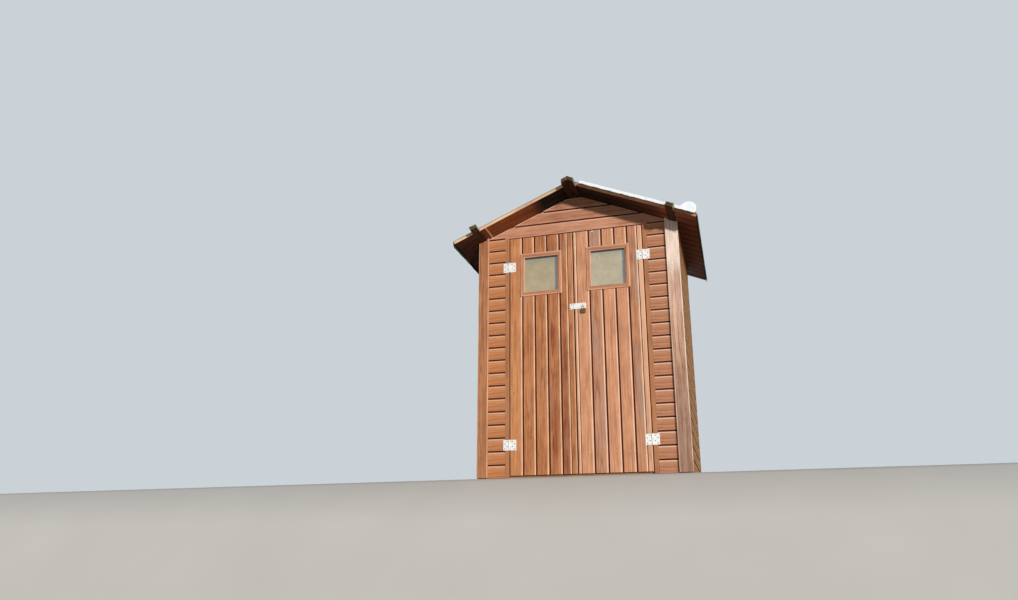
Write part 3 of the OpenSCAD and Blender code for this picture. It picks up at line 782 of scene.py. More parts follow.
class NodesTree:
    """Geometry Nodes tree with named inputs, run on one object at a time."""

    def __init__(self, name: str, **kinds: str) -> None:
        """Makes the tree and notes the identifier of each input.

        Args:
            name: the tree's name.
            **kinds: the socket type of each input.
        """
        self.tree = bpy.data.node_groups.new(name, "GeometryNodeTree")
        face = self.tree.interface
        self.inputs = {
            key: face.new_socket(key, in_out="INPUT", socket_type=f"NodeSocket{kind}").identifier
            for key, kind in kinds.items()
        }
        face.new_socket("Made", in_out="OUTPUT", socket_type="NodeSocketGeometry")
        self.node = partial(add_node, self.tree)
        self.given = self.node("NodeGroupInput").outputs

    def finish(self, geometry: bpy.types.Node) -> None:
        """Ends the tree in real geometry with its material.

        Args:
            geometry: the node whose geometry is given out.
        """
        dressed = {"Geometry": geometry, "Material": self.given["Finish"]}
        self.node("NodeGroupOutput", {0: self.node("GeometryNodeSetMaterial", dressed)})

    def run(self, base: bpy.types.Object, **values: object) -> bpy.types.Mesh:
        """Runs the tree on an object, which is used up.

        Args:
            base: the object.
            **values: the value of each input.

        Returns:
            The plain mesh that comes out.
        """
        modifier = base.modifiers.new(self.tree.name, "NODES")
        modifier.node_group = self.tree
        for key, value in values.items():
            modifier[self.inputs[key]] = value
        graph = bpy.context.evaluated_depsgraph_get()
        mesh = bpy.data.meshes.new_from_object(
            base.evaluated_get(graph), preserve_all_data_layers=True, depsgraph=graph
        )
        bpy.data.objects.remove(base)
        return mesh


class RepeatTree(NodesTree):
    """Lays one board many times, each a little different."""

    def __init__(self) -> None:
        """Builds the tree."""
        sockets = {"Count": "Int", "Step": "Vector", "Out": "Vector", "Bow": "Float"}
        ends = {"Seed": "Int", "Finish": "Material"}
        super().__init__("lay_boards", Board="Geometry", **sockets, **ends)
        node, given = self.node, self.given
        steps = {"Count": given["Count"], "Offset": given["Step"]}
        line = node("GeometryNodeMeshLine", steps, mode="OFFSET")
        boards = {"Points": line, "Instance": given["Board"]}
        laid = node("GeometryNodeInstanceOnPoints", boards)
        chance = node("FunctionNodeRandomValue", {"Seed": given["Seed"]}, data_type="FLOAT")
        toned = node(
            "GeometryNodeStoreNamedAttribute",
            {"Geometry": laid, "Name": "tone", "Value": chance},
            data_type="FLOAT",
            domain="INSTANCE",
        )
        real = node("GeometryNodeRealizeInstances", {"Geometry": toned})
        own = node("GeometryNodeInputNamedAttribute", {"Name": "tone"}, data_type="FLOAT")
        spread = node("Math", {0: own, 1: 61.0}, operation="MULTIPLY")
        place = {"Vector": node("GeometryNodeInputPosition"), "W": spread}
        noise = node("TexNoise", {**place, "Scale": 2.2, "Detail": 1.0}, noise_dimensions="4D")
        inwards = node("Math", {0: noise, 1: given["Bow"]}, operation="MULTIPLY")
        back = node("Math", {0: inwards, 1: -1.0}, operation="MULTIPLY")
        offset = node("VectorMath", {0: given["Out"], "Scale": back}, operation="SCALE")
        self.finish(node("GeometryNodeSetPosition", {"Geometry": real, "Offset": offset}))

    def lay(
        self,
        board: Timber,
        count: int,
        step: Vector,
        out: Vector,
        finish: bpy.types.Material,
        seed: int,
        bow: float = 1.1 * MM,
    ) -> bpy.types.Mesh:
        """Lays a board count times and gives the plain mesh.

        Args:
            board: the first board, in its place.
            count: how many boards.
            step: the distance from each board to the next.
            out: the direction that the faces look in.
            finish: the boards' material.
            seed: fixes the tones and the bow.
            bow: how far a board may bend inwards.

        Returns:
            One mesh of all the boards.
        """
        moves = {"Step": tuple(step), "Out": tuple(out), "Bow": bow, "Seed": seed}
        base = board.piece("board_to_lay", finish)
        return self.run(base, Count=count, Finish=finish, **moves)


class HeadTree(NodesTree):
    """Sets one screw or nail head on each point."""

    def __init__(self) -> None:
        """Builds the tree."""
        sockets = {"Head": "Object", "Facing": "Vector", "Seed": "Int", "Finish": "Material"}
        super().__init__("set_heads", Points="Geometry", **sockets)
        node, given = self.node, self.given
        head = node("GeometryNodeObjectInfo", {"Object": given["Head"]}).outputs["Geometry"]
        spin = {3: 2 * math.pi, "Seed": given["Seed"]}
        angle = node("FunctionNodeRandomValue", spin, data_type="FLOAT")
        turned = node("FunctionNodeAxisAngleToRotation", {"Axis": Z, "Angle": angle})
        facing = {"Vector": given["Facing"]}
        aimed = node("FunctionNodeAlignRotationToVector", facing, axis="Z")
        turn = {0: aimed, 1: turned}
        both = node("FunctionNodeRotateRotation", turn, rotation_space="LOCAL")
        heads = {"Points": given["Points"], "Instance": head, "Rotation": both}
        set_down = node("GeometryNodeInstanceOnPoints", heads)
        self.finish(node("GeometryNodeRealizeInstances", {"Geometry": set_down}))

    def place(
        self,
        name: str,
        spots: Sequence[Sequence[float]],
        head: bpy.types.Mesh,
        facing: Vector,
        finish: bpy.types.Material,
        seed: int,
    ) -> bpy.types.Object:
        """Sets a head on each spot.

        Args:
            name: the piece's name.
            spots: the middle of each head on the surface.
            head: the head's mesh, facing +Z.
            facing: the direction that the heads look in.
            finish: their material.
            seed: fixes how each head is turned.

        Returns:
            One piece of all the heads.
        """
        points = bpy.data.meshes.new(name)
        points.from_pydata([tuple(spot) for spot in spots], [], [])
        base = new_object(name, points)
        pattern = new_object("head_to_set", head)
        mesh = self.run(base, Head=pattern, Facing=tuple(facing), Seed=seed, Finish=finish)
        bpy.data.objects.remove(pattern)
        return new_piece(name, mesh, finish)


def head_mesh(radius: float, rise: float, recess: float = 0.0) -> bpy.types.Mesh:
    """Makes a low round head facing +Z, with a cross recess if it is a screw.

    Args:
        radius: the head's radius.
        rise: its height over the surface.
        recess: depth of the cross, or 0 for a nail.

    Returns:
        The head's closed mesh, sunk a little into what carries it.
    """
    sides = 16
    low = rise - recess
    cross = [0.16 if i % 4 else 0.62 for i in range(sides)]
    points = []
    for level, shares in (
        (-0.6 * rise, [1.0] * sides),
        (0.55 * rise, [1.0] * sides),
        (rise, [0.72] * sides),
        (low, cross),
    ):
        for i, share in enumerate(shares):
            turn = 2 * math.pi * i / sides
            points.append((radius * share * math.cos(turn), radius * share * math.sin(turn), level))
    rings = [range(start, start + sides) for start in range(0, len(points), sides)]
    middle = len(points)
    inner = rings[-1]
    fan = [[inner[i], inner[(i + 1) % sides], middle] for i in range(sides)]
    return closed_mesh([*points, (0.0, 0.0, low)], [*ring_faces(rings)[:-1], *fan])


@dataclass(frozen=True)
class RoofLine:
    """The two slopes that the roof, the gables and the purlins follow.

    A side is 1 for the right slope and -1 for the left one. A plane is a point and
    the normal that looks out of the room or away from what is kept.
    """

    pitch: float = math.radians(23)
    wall: float = 0.705
    eave_z: float = 1.702
    half: float = 0.836
    front: float = -0.630
    back: float = 0.615
    board: float = 0.020
    seat: float = 0.05 * MM
    purlin_front: float = -0.720
    purlin_wide: float = 0.053
    purlin_sink: float = 0.007
    purlin_in: float = 0.033
    ridge_wide: float = 0.086
    room_play: float = 0.3 * MM

    @property
    def apex(self) -> float:
        """Height of the soffit at the ridge."""
        return self.eave_z + self.wall * math.tan(self.pitch)

    @property
    def length(self) -> float:
        """Length of a slope from the ridge to the eaves."""
        return self.half / math.cos(self.pitch)

    @property
    def purlin_along(self) -> float:
        """Distance of an eaves purlin's middle from the ridge, down the slope."""
        return (self.wall - self.purlin_in) / math.cos(self.pitch)

    def down(self, side: int) -> Vector:
        """Direction down the slope."""
        return Vector((side * math.cos(self.pitch), 0.0, -math.sin(self.pitch)))

    def up_from(self, side: int) -> Vector:
        """Direction square to the slope, away from the building."""
        return Vector((side * math.sin(self.pitch), 0.0, math.cos(self.pitch)))

    def on_slope(self, side: int, along: float, y: float, height: float) -> Vector:
        """Place down from the ridge, at a depth y, and over the soffit."""
        top = Vector((0.0, y, self.apex))
        return top + self.down(side) * along + self.up_from(side) * height

    def under(self) -> list[Plane]:
        """The two planes that trim what stands under the roof boards."""
        ups = [self.up_from(side) for side in (1, -1)]
        return [(Z * self.apex - up * self.seat, up) for up in ups]

    def soffit_plane(self, side: int, along: float) -> Plane:
        """Underside of a purlin's room, at a place down from the ridge."""
        low = self.on_slope(side, along, 0.0, -self.purlin_sink - self.room_play)
        return (low, -self.up_from(side))

    def purlin_slot(self, side: int, grow: float) -> list[Plane]:
        """The planes at the two sides of an eaves purlin, with some clearance.

        Args:
            side: which slope.
            grow: the clearance beside the purlin.

        Returns:
            The two planes.
        """
        half = self.purlin_wide / 2 + grow
        return [
            (self.on_slope(side, self.purlin_along + way * half, 0.0, 0.0), self.down(side) * way)
            for way in (-1, 1)
        ]

    def eaves_room(self, side: int) -> list[Plane]:
        """Room that an eaves purlin takes up, open at the top."""
        low = self.soffit_plane(side, self.purlin_along)
        return [low, *self.purlin_slot(side, self.room_play)]

    def ridge_room(self, side: int) -> list[Plane]:
        """Room that one strip of the ridge purlin takes up, open at the top."""
        out, half = X * side, self.ridge_wide / 2 + self.room_play
        return [self.soffit_plane(side, 0.0), (out * half, out), (Vector(), -out)]


ROOF = RoofLine()


def show(piece: bpy.types.Object, body: str, slot: str, *nodes: str) -> None:
    """Ties a finished piece to its body and hides the CAD nodes that it stands for.

    Args:
        piece: the finished piece.
        body: the CAD body that it rides on.
        slot: the name of a material slot; not used.
        *nodes: the CAD nodes that it stands for.
    """
    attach(piece, body)
    if nodes:
        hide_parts(*nodes)
    LOG.info("%s: %d faces on %s", piece.name, len(piece.data.polygons), body)


def dress(material: bpy.types.Material, *nodes: str) -> None:
    """Gives shown CAD nodes a better material.

    Args:
        material: the finish.
        *nodes: the CAD nodes.
    """
    for name in nodes:
        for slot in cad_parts[name].material_slots:
            slot.material = material
        LOG.info("%s: dressed in %s", name, material.name)


@dataclass
class Siding:
    """Horizontal shiplap boards on the four walls, with the gables."""

    finish: WoodFinish
    sunned: WoodFinish
    over_doors: WoodFinish
    painted_sunlit: WoodFinish
    trees: RepeatTree
    wall: float = 0.705
    deep: float = 0.450
    lift: float = 0.018
    head: float = 1.728
    doorway_top: float = 1.720
    doorway: tuple[float, float] = (-0.512, 0.494)
    side_top: float = 1.699
    cover: float = 0.090
    gable_cover: float = 0.084
    thick: float = 0.020
    courses: int = 19
    gable_courses: int = 3
    low_tone: float = -0.35
    lit_rim: float = 5 * MM
    step: float = 0.09

    def course(self, place: Matrix, length: float, cover: float, seed: int) -> Timber:
        """Makes one board.

        Args:
            place: where it lies.
            length: its length.
            cover: how much of its width shows.
            seed: fixes its grain.

        Returns:
            The board.
        """
        chance = random.Random(seed)
        pith = (chance.uniform(0, 9), chance.uniform(-0.06, -0.02), chance.uniform(0.02, 0.05))
        section = BoardShape(cover, self.thick).section()
        board = Timber()
        board.sweep(section, stops_between(0.0, length, self.step), place, chance.random(), pith)
        return board

    def panel(
        self,
        place: Matrix,
        length: float,
        count: int,
        material: bpy.types.Material,
        seed: int,
    ) -> bpy.types.Mesh:
        """Lays one panel of full boards.

        Args:
            place: where the lowest board lies.
            length: length of the boards.
            count: how many boards.
            material: their finish.
            seed: fixes the tones.

        Returns:
            The panel's mesh.
        """
        board = self.course(place, length, self.cover, seed)
        out = place.to_3x3() @ Z
        return self.trees.lay(board, count, Z * self.cover, out, material, seed)

    def wall_boards(
        self,
        corner: tuple[float, float],
        along: Vector,
        length: float,
        material: bpy.types.Material,
        seed: int,
        *purlins: int,
    ) -> bpy.types.Mesh:
        """Lays the boards of one wall, cut to the roof and to the purlins over it.

        Args:
            corner: where the boards start, from above.
            along: direction of the boards.
            length: their length.
            material: their finish.
            seed: fixes the tones.
            *purlins: the sides whose eaves purlins pass through the wall.

        Returns:
            The boards' mesh.
        """
        place = placed((*corner, self.lift), along, Z, along.cross(Z))
        gabled = [*ROOF.under(), (Z * (self.head - 0.2 * MM), Z)]
        limits = gabled if along.x else [(Z * self.side_top, Z)]
        boards = trimmed(self.panel(place, length, self.courses, material, seed), limits)
        for side in purlins:
            boards = without(boards, ROOF.eaves_room(side))
        return boards

    def build(self) -> None:
        """Builds the four walls and the two gables."""
        plain, sunned = self.finish.material(), self.sunned.material()
        painted_sunlit, pink = self.painted_sunlit.material(), self.over_doors.material()
        wall, deep, inner = self.wall, self.deep, self.deep - self.thick
        left, right = self.doorway
        lay = self.wall_boards
        for name, stain, parts in (
            ("front_left", plain, [lay((-wall, -deep), X, left + wall, plain, 11, -1)]),
            ("front_right", sunned, [lay((right, -deep), X, wall - right, sunned, 23, 1)]),
            ("front_gable", pink, self.gable(-deep, X, pink)),
            (
                "back",
                plain,
                [lay((wall, deep), -X, 2 * wall, plain, 37, 1, -1), *self.gable(deep, -X, plain)],
            ),
            ("left", plain, [lay((-wall, inner), -Y, 2 * inner, plain, 41)]),
            # The right wall takes the brighter copy of the stain, painted as sunlight
            ("right", painted_sunlit, [lay((wall, -inner), Y, 2 * inner, painted_sunlit, 59)]),
        ):
            piece = Timber(*parts).piece(f"siding_{name}", stain)
            show(piece, "shed", "cladding_wood", f"cladding_{name}")

    def gable(
        self, y: float, along: Vector, material: bpy.types.Material
    ) -> list[bpy.types.Mesh]:
        """Builds the boards over the head.

        Args:
            y: the wall's face, which lies over the doorway where it is in front.
            along: direction of the boards.
            material: the boards' finish.

        Returns:
            Their meshes, with a strip under the left slope painted pale as a painted highlight.
        """
        low = self.doorway_top if y < 0 else self.head
        high = self.head + self.gable_cover
        lowest, upper = (
            placed((-self.wall * along.x, y, z), along, Z, along.cross(Z)) for z in (low, high)
        )
        board = self.course(lowest, 2 * self.wall, high - low, 71)
        board.scalars["tone"] = [tone + self.low_tone for tone in board.scalars["tone"]]
        first = board.mesh()
        if y < 0:
            for side, x in zip((-1, 1), self.doorway):
                corner = Vector((x, 0.0, self.head))
                first = without(first, [(corner, (-side * X - Z).normalized()), (corner, Z)])
        # Painted highlight: a 5 mm strip of the boards under the left slope is painted pale where
        # the sun grazes it
        spot, up = ROOF.under()[1]
        sawn = spot - up * self.lit_rim
        parts = []
        for part in (first, self.panel(upper, 2 * self.wall, self.gable_courses, material, 83)):
            part = trimmed(part, ROOF.under())
            for side in (1, -1):
                part = without(without(part, ROOF.eaves_room(side)), ROOF.ridge_room(side))
            rim = Timber(trimmed(part, [(sawn, -up)]))
            rim.scalars["wear"] = [0.9] * len(rim.points)
            parts += [trimmed(part, [(sawn, up)]), rim.mesh()]
        return parts


@dataclass
class CornerBoards:
    """Boards planted on the corners, cut to the purlins over them."""

    finish: WoodFinish
    bleached: WoodFinish
    wall: float = 0.705
    deep: float = 0.450
    thick: float = 0.020
    lift: float = 0.018
    wide: float = 0.073
    right_wide: float = 0.086
    top: float = 1.75
    arris: float = 2 * MM
    soft: float = 4 * MM
    worn: float = 0.9

    def board(
        self,
        side: int,
        wide: float,
        out: int,
        tone: float,
        seed: int,
        fade: Rule = lambda stop: 0.0,
    ) -> bpy.types.Mesh:
        """Makes one corner board.

        Args:
            side: 1 for the right corner and -1 for the left one.
            wide: the board's width.
            out: -1 for the front and 1 for the back.
            tone: the board's shade.
            seed: fixes its grain.
            fade: wear added at each height.

        Returns:
            The board's mesh.
        """
        x0 = self.wall - wide if side > 0 else -self.wall
        arris, worn = self.arris, self.worn
        section = [(0.0, arris, worn), (arris, 0.0, worn), (arris + self.soft, 0.0, 0.0)]
        section += [(wide - a, d, w) for a, d, w in reversed(section)]
        section += [(wide, self.thick, 0.0), (0.0, self.thick, 0.0)]
        timber = Timber()
        timber.sweep(
            section,
            stops_between(self.lift, self.top, 0.08),
            placed((x0, out * (self.deep + self.thick), 0.0), Z, X, Y * out),
            tone,
            (seed * 1.7, -0.05, 0.03),
            waver(seed, 0.9 * MM),
            fade=fade,
        )
        limits = [(X * self.wall, X), (X * -self.wall, -X), *ROOF.under()]
        return without(trimmed(timber.mesh(), limits), ROOF.eaves_room(side))

    def build(self) -> None:
        """Builds the four corner boards."""
        plain, bleached = self.finish.material(), self.bleached.material()
        # Along the right board's height it is darker towards the bottom and paler towards the top
        sunned = curve((0.1, -0.5), (0.5, -0.35), (0.95, 0.0), (1.3, 0.2), (1.42, 0.85))
        left = [self.board(-1, self.wide, -1, 0.35, 3)]
        right = [self.board(1, self.right_wide, -1, 0.7, 5, sunned)]
        back = [self.board(side, self.wide, 1, 0.5, 7 + side) for side in (1, -1)]
        for name, node, stain, boards in (
            ("board_front_left", "board_left", plain, left),
            ("board_front_right", "board_right", bleached, right),
            ("boards_at_back", "boards_back", plain, back),
        ):
            piece = Timber(*boards).piece(f"corner_{name}", stain)
            show(piece, "shed", "trim_wood", f"corner_{node}")


@dataclass
class Purlins:
    """Three rough-sawn purlins whose sawn ends stick out under the roof."""

    finish: WoodFinish
    cut_back: float = 7 * MM
    tear: float = 4 * MM
    step: float = 7 * MM
    rough: float = 1.2 * MM
    splinter_count: int = 26
    rng: random.Random = field(default_factory=lambda: random.Random(5))

    def outline(self, corners: Sequence[Vector]) -> tuple[list[Vector], list[Vector]]:
        """Splits the sides of an outline into short steps.

        Args:
            corners: the corners in the XZ plane.

        Returns:
            The points round the outline, and the direction that each one's side looks in.
        """
        centre = sum(corners, Vector()) / len(corners)
        points, looks = [], []
        for i, one in enumerate(corners):
            two = corners[(i + 1) % len(corners)]
            count = max(2, round((two - one).length / self.step))
            look = (two - one).cross(Y).normalized()
            look *= -1 if look.dot(one - centre) < 0 else 1
            points.extend(one.lerp(two, k / count) for k in range(count))
            looks.extend([look] * count)
        return points, looks

    def timber(self, corners: Sequence[Vector], tone: float) -> Timber:
        """Makes one purlin with torn fibres at its front end.

        Args:
            corners: its section in the XZ plane.
            tone: its shade.

        Returns:
            The purlin, with splinters at its front end.
        """
        made = Timber()
        around, looks = self.outline(corners)
        middle = sum(around, Vector()) / len(around)
        front = ROOF.purlin_front + self.cut_back
        under_roof = ROOF.front - 4 * MM
        stops = [*stops_between(front + 4 * MM, under_roof, 0.015), ROOF.front + 4 * MM]
        rings = []
        for share in (0.25, 0.5, 0.72, 0.88, 0.97):
            ring = []
            for p, look in zip(around, looks):
                spot = middle.lerp(p, share)
                spot.y = front + self.rng.uniform(-0.3, 1.0) * self.tear
                pale = (0.4, 0.9) if look.z > 0.8 and share > 0.6 else (0.0, 0.35)
                ring.append(made.point(spot, self.grain(spot), tone, self.rng.uniform(*pale)))
            rings.append(ring)
        dents = [self.rng.uniform(-1, 0) * self.rough for _ in around]
        for stop in (*stops, *stops_between(0, ROOF.back, 0.1)):
            ring = []
            for p, look, dent in zip(around, looks, dents):
                spot = p - (middle - p).normalized() * dent
                spot.y = stop
                # Painted highlight: the right side of the end that sticks out is painted pale where
                # the sun lights it
                lit = look.x > 0.8 and stop <= under_roof
                pale = self.rng.uniform(0.7, 1.0) if lit else 0.0
                ring.append(made.point(spot, self.grain(spot), tone, pale))
            rings.append(ring)
        made.faces += ring_faces(rings)
        self.splinters(made, around, middle, front)
        return made

    def grain(self, spot: Vector) -> tuple[float, float, float]:
        """Grain of a purlin, whose fibres run front to back."""
        return (spot.y, spot.x + 0.02, spot.z - 1.6)

    def splinters(
        self, made: Timber, around: Sequence[Vector], middle: Vector, front: float
    ) -> None:
        """Adds pale splinters that stand out of the sawn end.

        Args:
            made: the purlin to add them to.
            around: the points round its section.
            middle: the middle of its section.
            front: where its end face lies.
        """
        for _ in range(self.splinter_count):
            base = self.rng.choice(around).lerp(middle, self.rng.uniform(0.02, 0.5))
            base.y = front + 4 * MM
            lean = (self.rng.uniform(-4, 4) * MM, 0.0, self.rng.uniform(-7, 7) * MM)
            tip = base + Vector(lean)
            tip.y = front - self.rng.uniform(0.2, 0.9) * self.cut_back
            wide = self.rng.uniform(0.6, 1.8) * MM
            foot = []
            for x, z in ((wide, 0.0), (-wide, wide), (-wide, -wide)):
                foot.append(made.point(base + Vector((x, 0.0, z)), self.grain(base), 0.6, 0.3))
            end = made.point(tip, self.grain(tip), 1.0, 0.8)
            made.faces += [[foot[i], foot[(i + 1) % 3], end] for i in range(3)]
            made.faces.append(list(reversed(foot)))

    def eaves_corners(self, side: int) -> list[Vector]:
        """Corners of an eaves purlin on one side, whose top is level with the roof boards."""
        half, top, low = ROOF.purlin_wide / 2, ROOF.board, -ROOF.purlin_sink
        corners = ((-half, top), (half, top), (half, low), (-half, low))
        return [ROOF.on_slope(side, ROOF.purlin_along + a, 0.0, h) for a, h in corners]

    def ridge_corners(self, side: int) -> list[Vector]:
        """Corners of the ridge purlin's strip on one side."""
        half, seam = ROOF.ridge_wide / 2, 0.2 * MM
        fall = half * math.tan(ROOF.pitch)
        low = ROOF.apex - ROOF.purlin_sink / math.cos(ROOF.pitch)
        high = ROOF.apex + ROOF.board / math.cos(ROOF.pitch)
        corners = ((seam, low), (half, low - fall), (half, high - fall), (seam, high))
        return [Vector((side * x, 0, z)) for x, z in corners]

    def build(self) -> None:
        """Builds the three purlins."""
        material = self.finish.material()
        for name, node, strips, tone in (
            ("ridge", "ridge_purlin", [self.ridge_corners(s) for s in (-1, 1)], 0.3),
            ("left_eaves", "eaves_purlin_left", [self.eaves_corners(-1)], 0.4),
            ("right_eaves", "eaves_purlin_right", [self.eaves_corners(1)], 0.45),
        ):
            parts = [self.timber(c, tone + 0.1 * i).mesh() for i, c in enumerate(strips)]
            piece = Timber(*parts).piece(f"purlin_at_{name}", material)
            show(piece, "shed", "purlin_wood", node)


@dataclass
class RoofDeck:
    """Roof boards from ridge to eaves, with their joints seen from below."""

    finish: WoodFinish
    trees: RepeatTree
    cover: float = 0.092
    count: int = 13
    slit: float = 4 * MM
    pale_line_at: float = 0.660

    def build(self) -> None:
        """Builds the boards of both slopes."""
        material = self.finish.material()
        pale_line_at = [self.pale_line_at + d * MM for d in (-4.5, -3.5, 3.5, 4.5)]
        stops = sorted([*stops_between(-ROOF.board, ROOF.length, 0.05), *pale_line_at])
        # A pale line is painted along the left slope's underside, front to back, just above the
        # eaves purlin
        pale_line = zip(pale_line_at, (0.0, 1.0, 1.0, -0.25))
        # Painted shade under the roof: the left slope's underside is darkened near the ridge and at
        # the eaves, the right one over most of its upper part and a little at the eaves
        left = curve((0.25, -1.0), (0.31, -0.1), (0.36, 0.0), *pale_line, (0.8, -0.75))
        right = curve((0.3, -0.95), (0.6, -0.7), (0.72, 0.0), (0.8, -0.35))
        for name, side, painted_soffit_shade, pale in (("left", -1, left, 1.0), ("right", 1, right, 0.4)):
            down, up = ROOF.down(side), ROOF.up_from(side)
            kind = {"slit": self.slit, "worn": 0.0}
            shape = BoardShape(self.cover, ROOF.board, **kind)
            sawn = BoardShape(self.cover, ROOF.board, rebated=False, **kind)
            start = Vector((0.0, ROOF.front, ROOF.apex))
            edge, first = Timber(), Timber()
            section = [(a, d, pale if a < 0.5 * MM else w) for a, d, w in sawn.section()]
            place = placed(start, down, Y, -up)
            edge.sweep(section, stops, place, 0.7, (2.0 * side, -0.04, 0.03))
            edge.scalars["wear"] = [
                w if w > 0.3 else max(-1.0, w + painted_soffit_shade((spot - start).dot(down)))
                for w, spot in zip(edge.scalars["wear"], edge.points)
            ]
            pith = (5.0 * side, -0.04, 0.03)
            place = placed(start + Y * self.cover, down, Y, -up)
            first.sweep(shape.section(), stops, place, 0.5, pith, fade=painted_soffit_shade)
            steps = (self.count, Y * self.cover, -up)
            rows = self.trees.lay(first, *steps, material, 90 + side, 0.5 * MM)
            out = X * side
            limits = [(out * (ROOF.ridge_wide / 2 + ROOF.seat), -out), (Y * ROOF.back, Y)]
            slot = ROOF.purlin_slot(side, ROOF.seat)
            parts = [without(trimmed(part, limits), slot) for part in (edge.mesh(), rows)]
            piece = Timber(*parts).piece(f"roof_deck_{name}", material)
            show(piece, "shed", "roof_wood", f"roof_boards_{name}")


def sheet_mesh(columns: Sequence[float], rows: Sequence[float], spot: SheetRule) -> bpy.types.Mesh:
    """Makes a closed thin sheet from a rule.

    Args:
        columns: places across the sheet.
        rows: places along the sheet.
        spot: gives the upper and the lower point at a place across and along.

    Returns:
        The sheet's closed mesh.
    """
    pairs = [spot(u, v) for v in rows for u in columns]
    wide, long, base = len(columns), len(rows), len(pairs)
    faces = []
    for r in range(long - 1):
        for a in range(r * wide, r * wide + wide - 1):
            quad = [a, a + 1, a + wide + 1, a + wide]
            faces += [quad, [base + i for i in reversed(quad)]]
    rim = [*range(wide), *range(2 * wide - 1, base, wide)]
    rim += [*range(base - 2, base - wide - 1, -1), *range(base - 2 * wide, 0, -wide)]
    for i, one in enumerate(rim):
        two = rim[(i + 1) % len(rim)]
        faces.append([two, one, base + one, base + two])
    return closed_mesh([pair[k] for k in (0, 1) for pair in pairs], faces)


class Ripple:
    """Smooth random waves over a sheet, the same on every run."""

    def __init__(self, seed: int, longest: float, count: int = 7) -> None:
        """Chooses the waves.

        Args:
            seed: fixes them.
            longest: length of the longest wave in metres.
            count: how many waves are added up.
        """
        chance = random.Random(seed)
        self.waves = []
        for i in range(count):
            turn = chance.uniform(0, 2 * math.pi)
            rate = 2 * math.pi / (longest * 0.72**i)
            phase = chance.uniform(0, 2 * math.pi)
            self.waves.append((rate * math.cos(turn), rate * math.sin(turn), phase, 0.8**i))
        self.total = sum(wave[3] for wave in self.waves)

    def at(self, u: float, v: float) -> float:
        """Height of the waves u metres across and v along, from 0 to 1."""
        height = sum(s * math.sin(a * u + b * v + p) for a, b, p, s in self.waves)
        return 0.5 + 0.5 * height / self.total


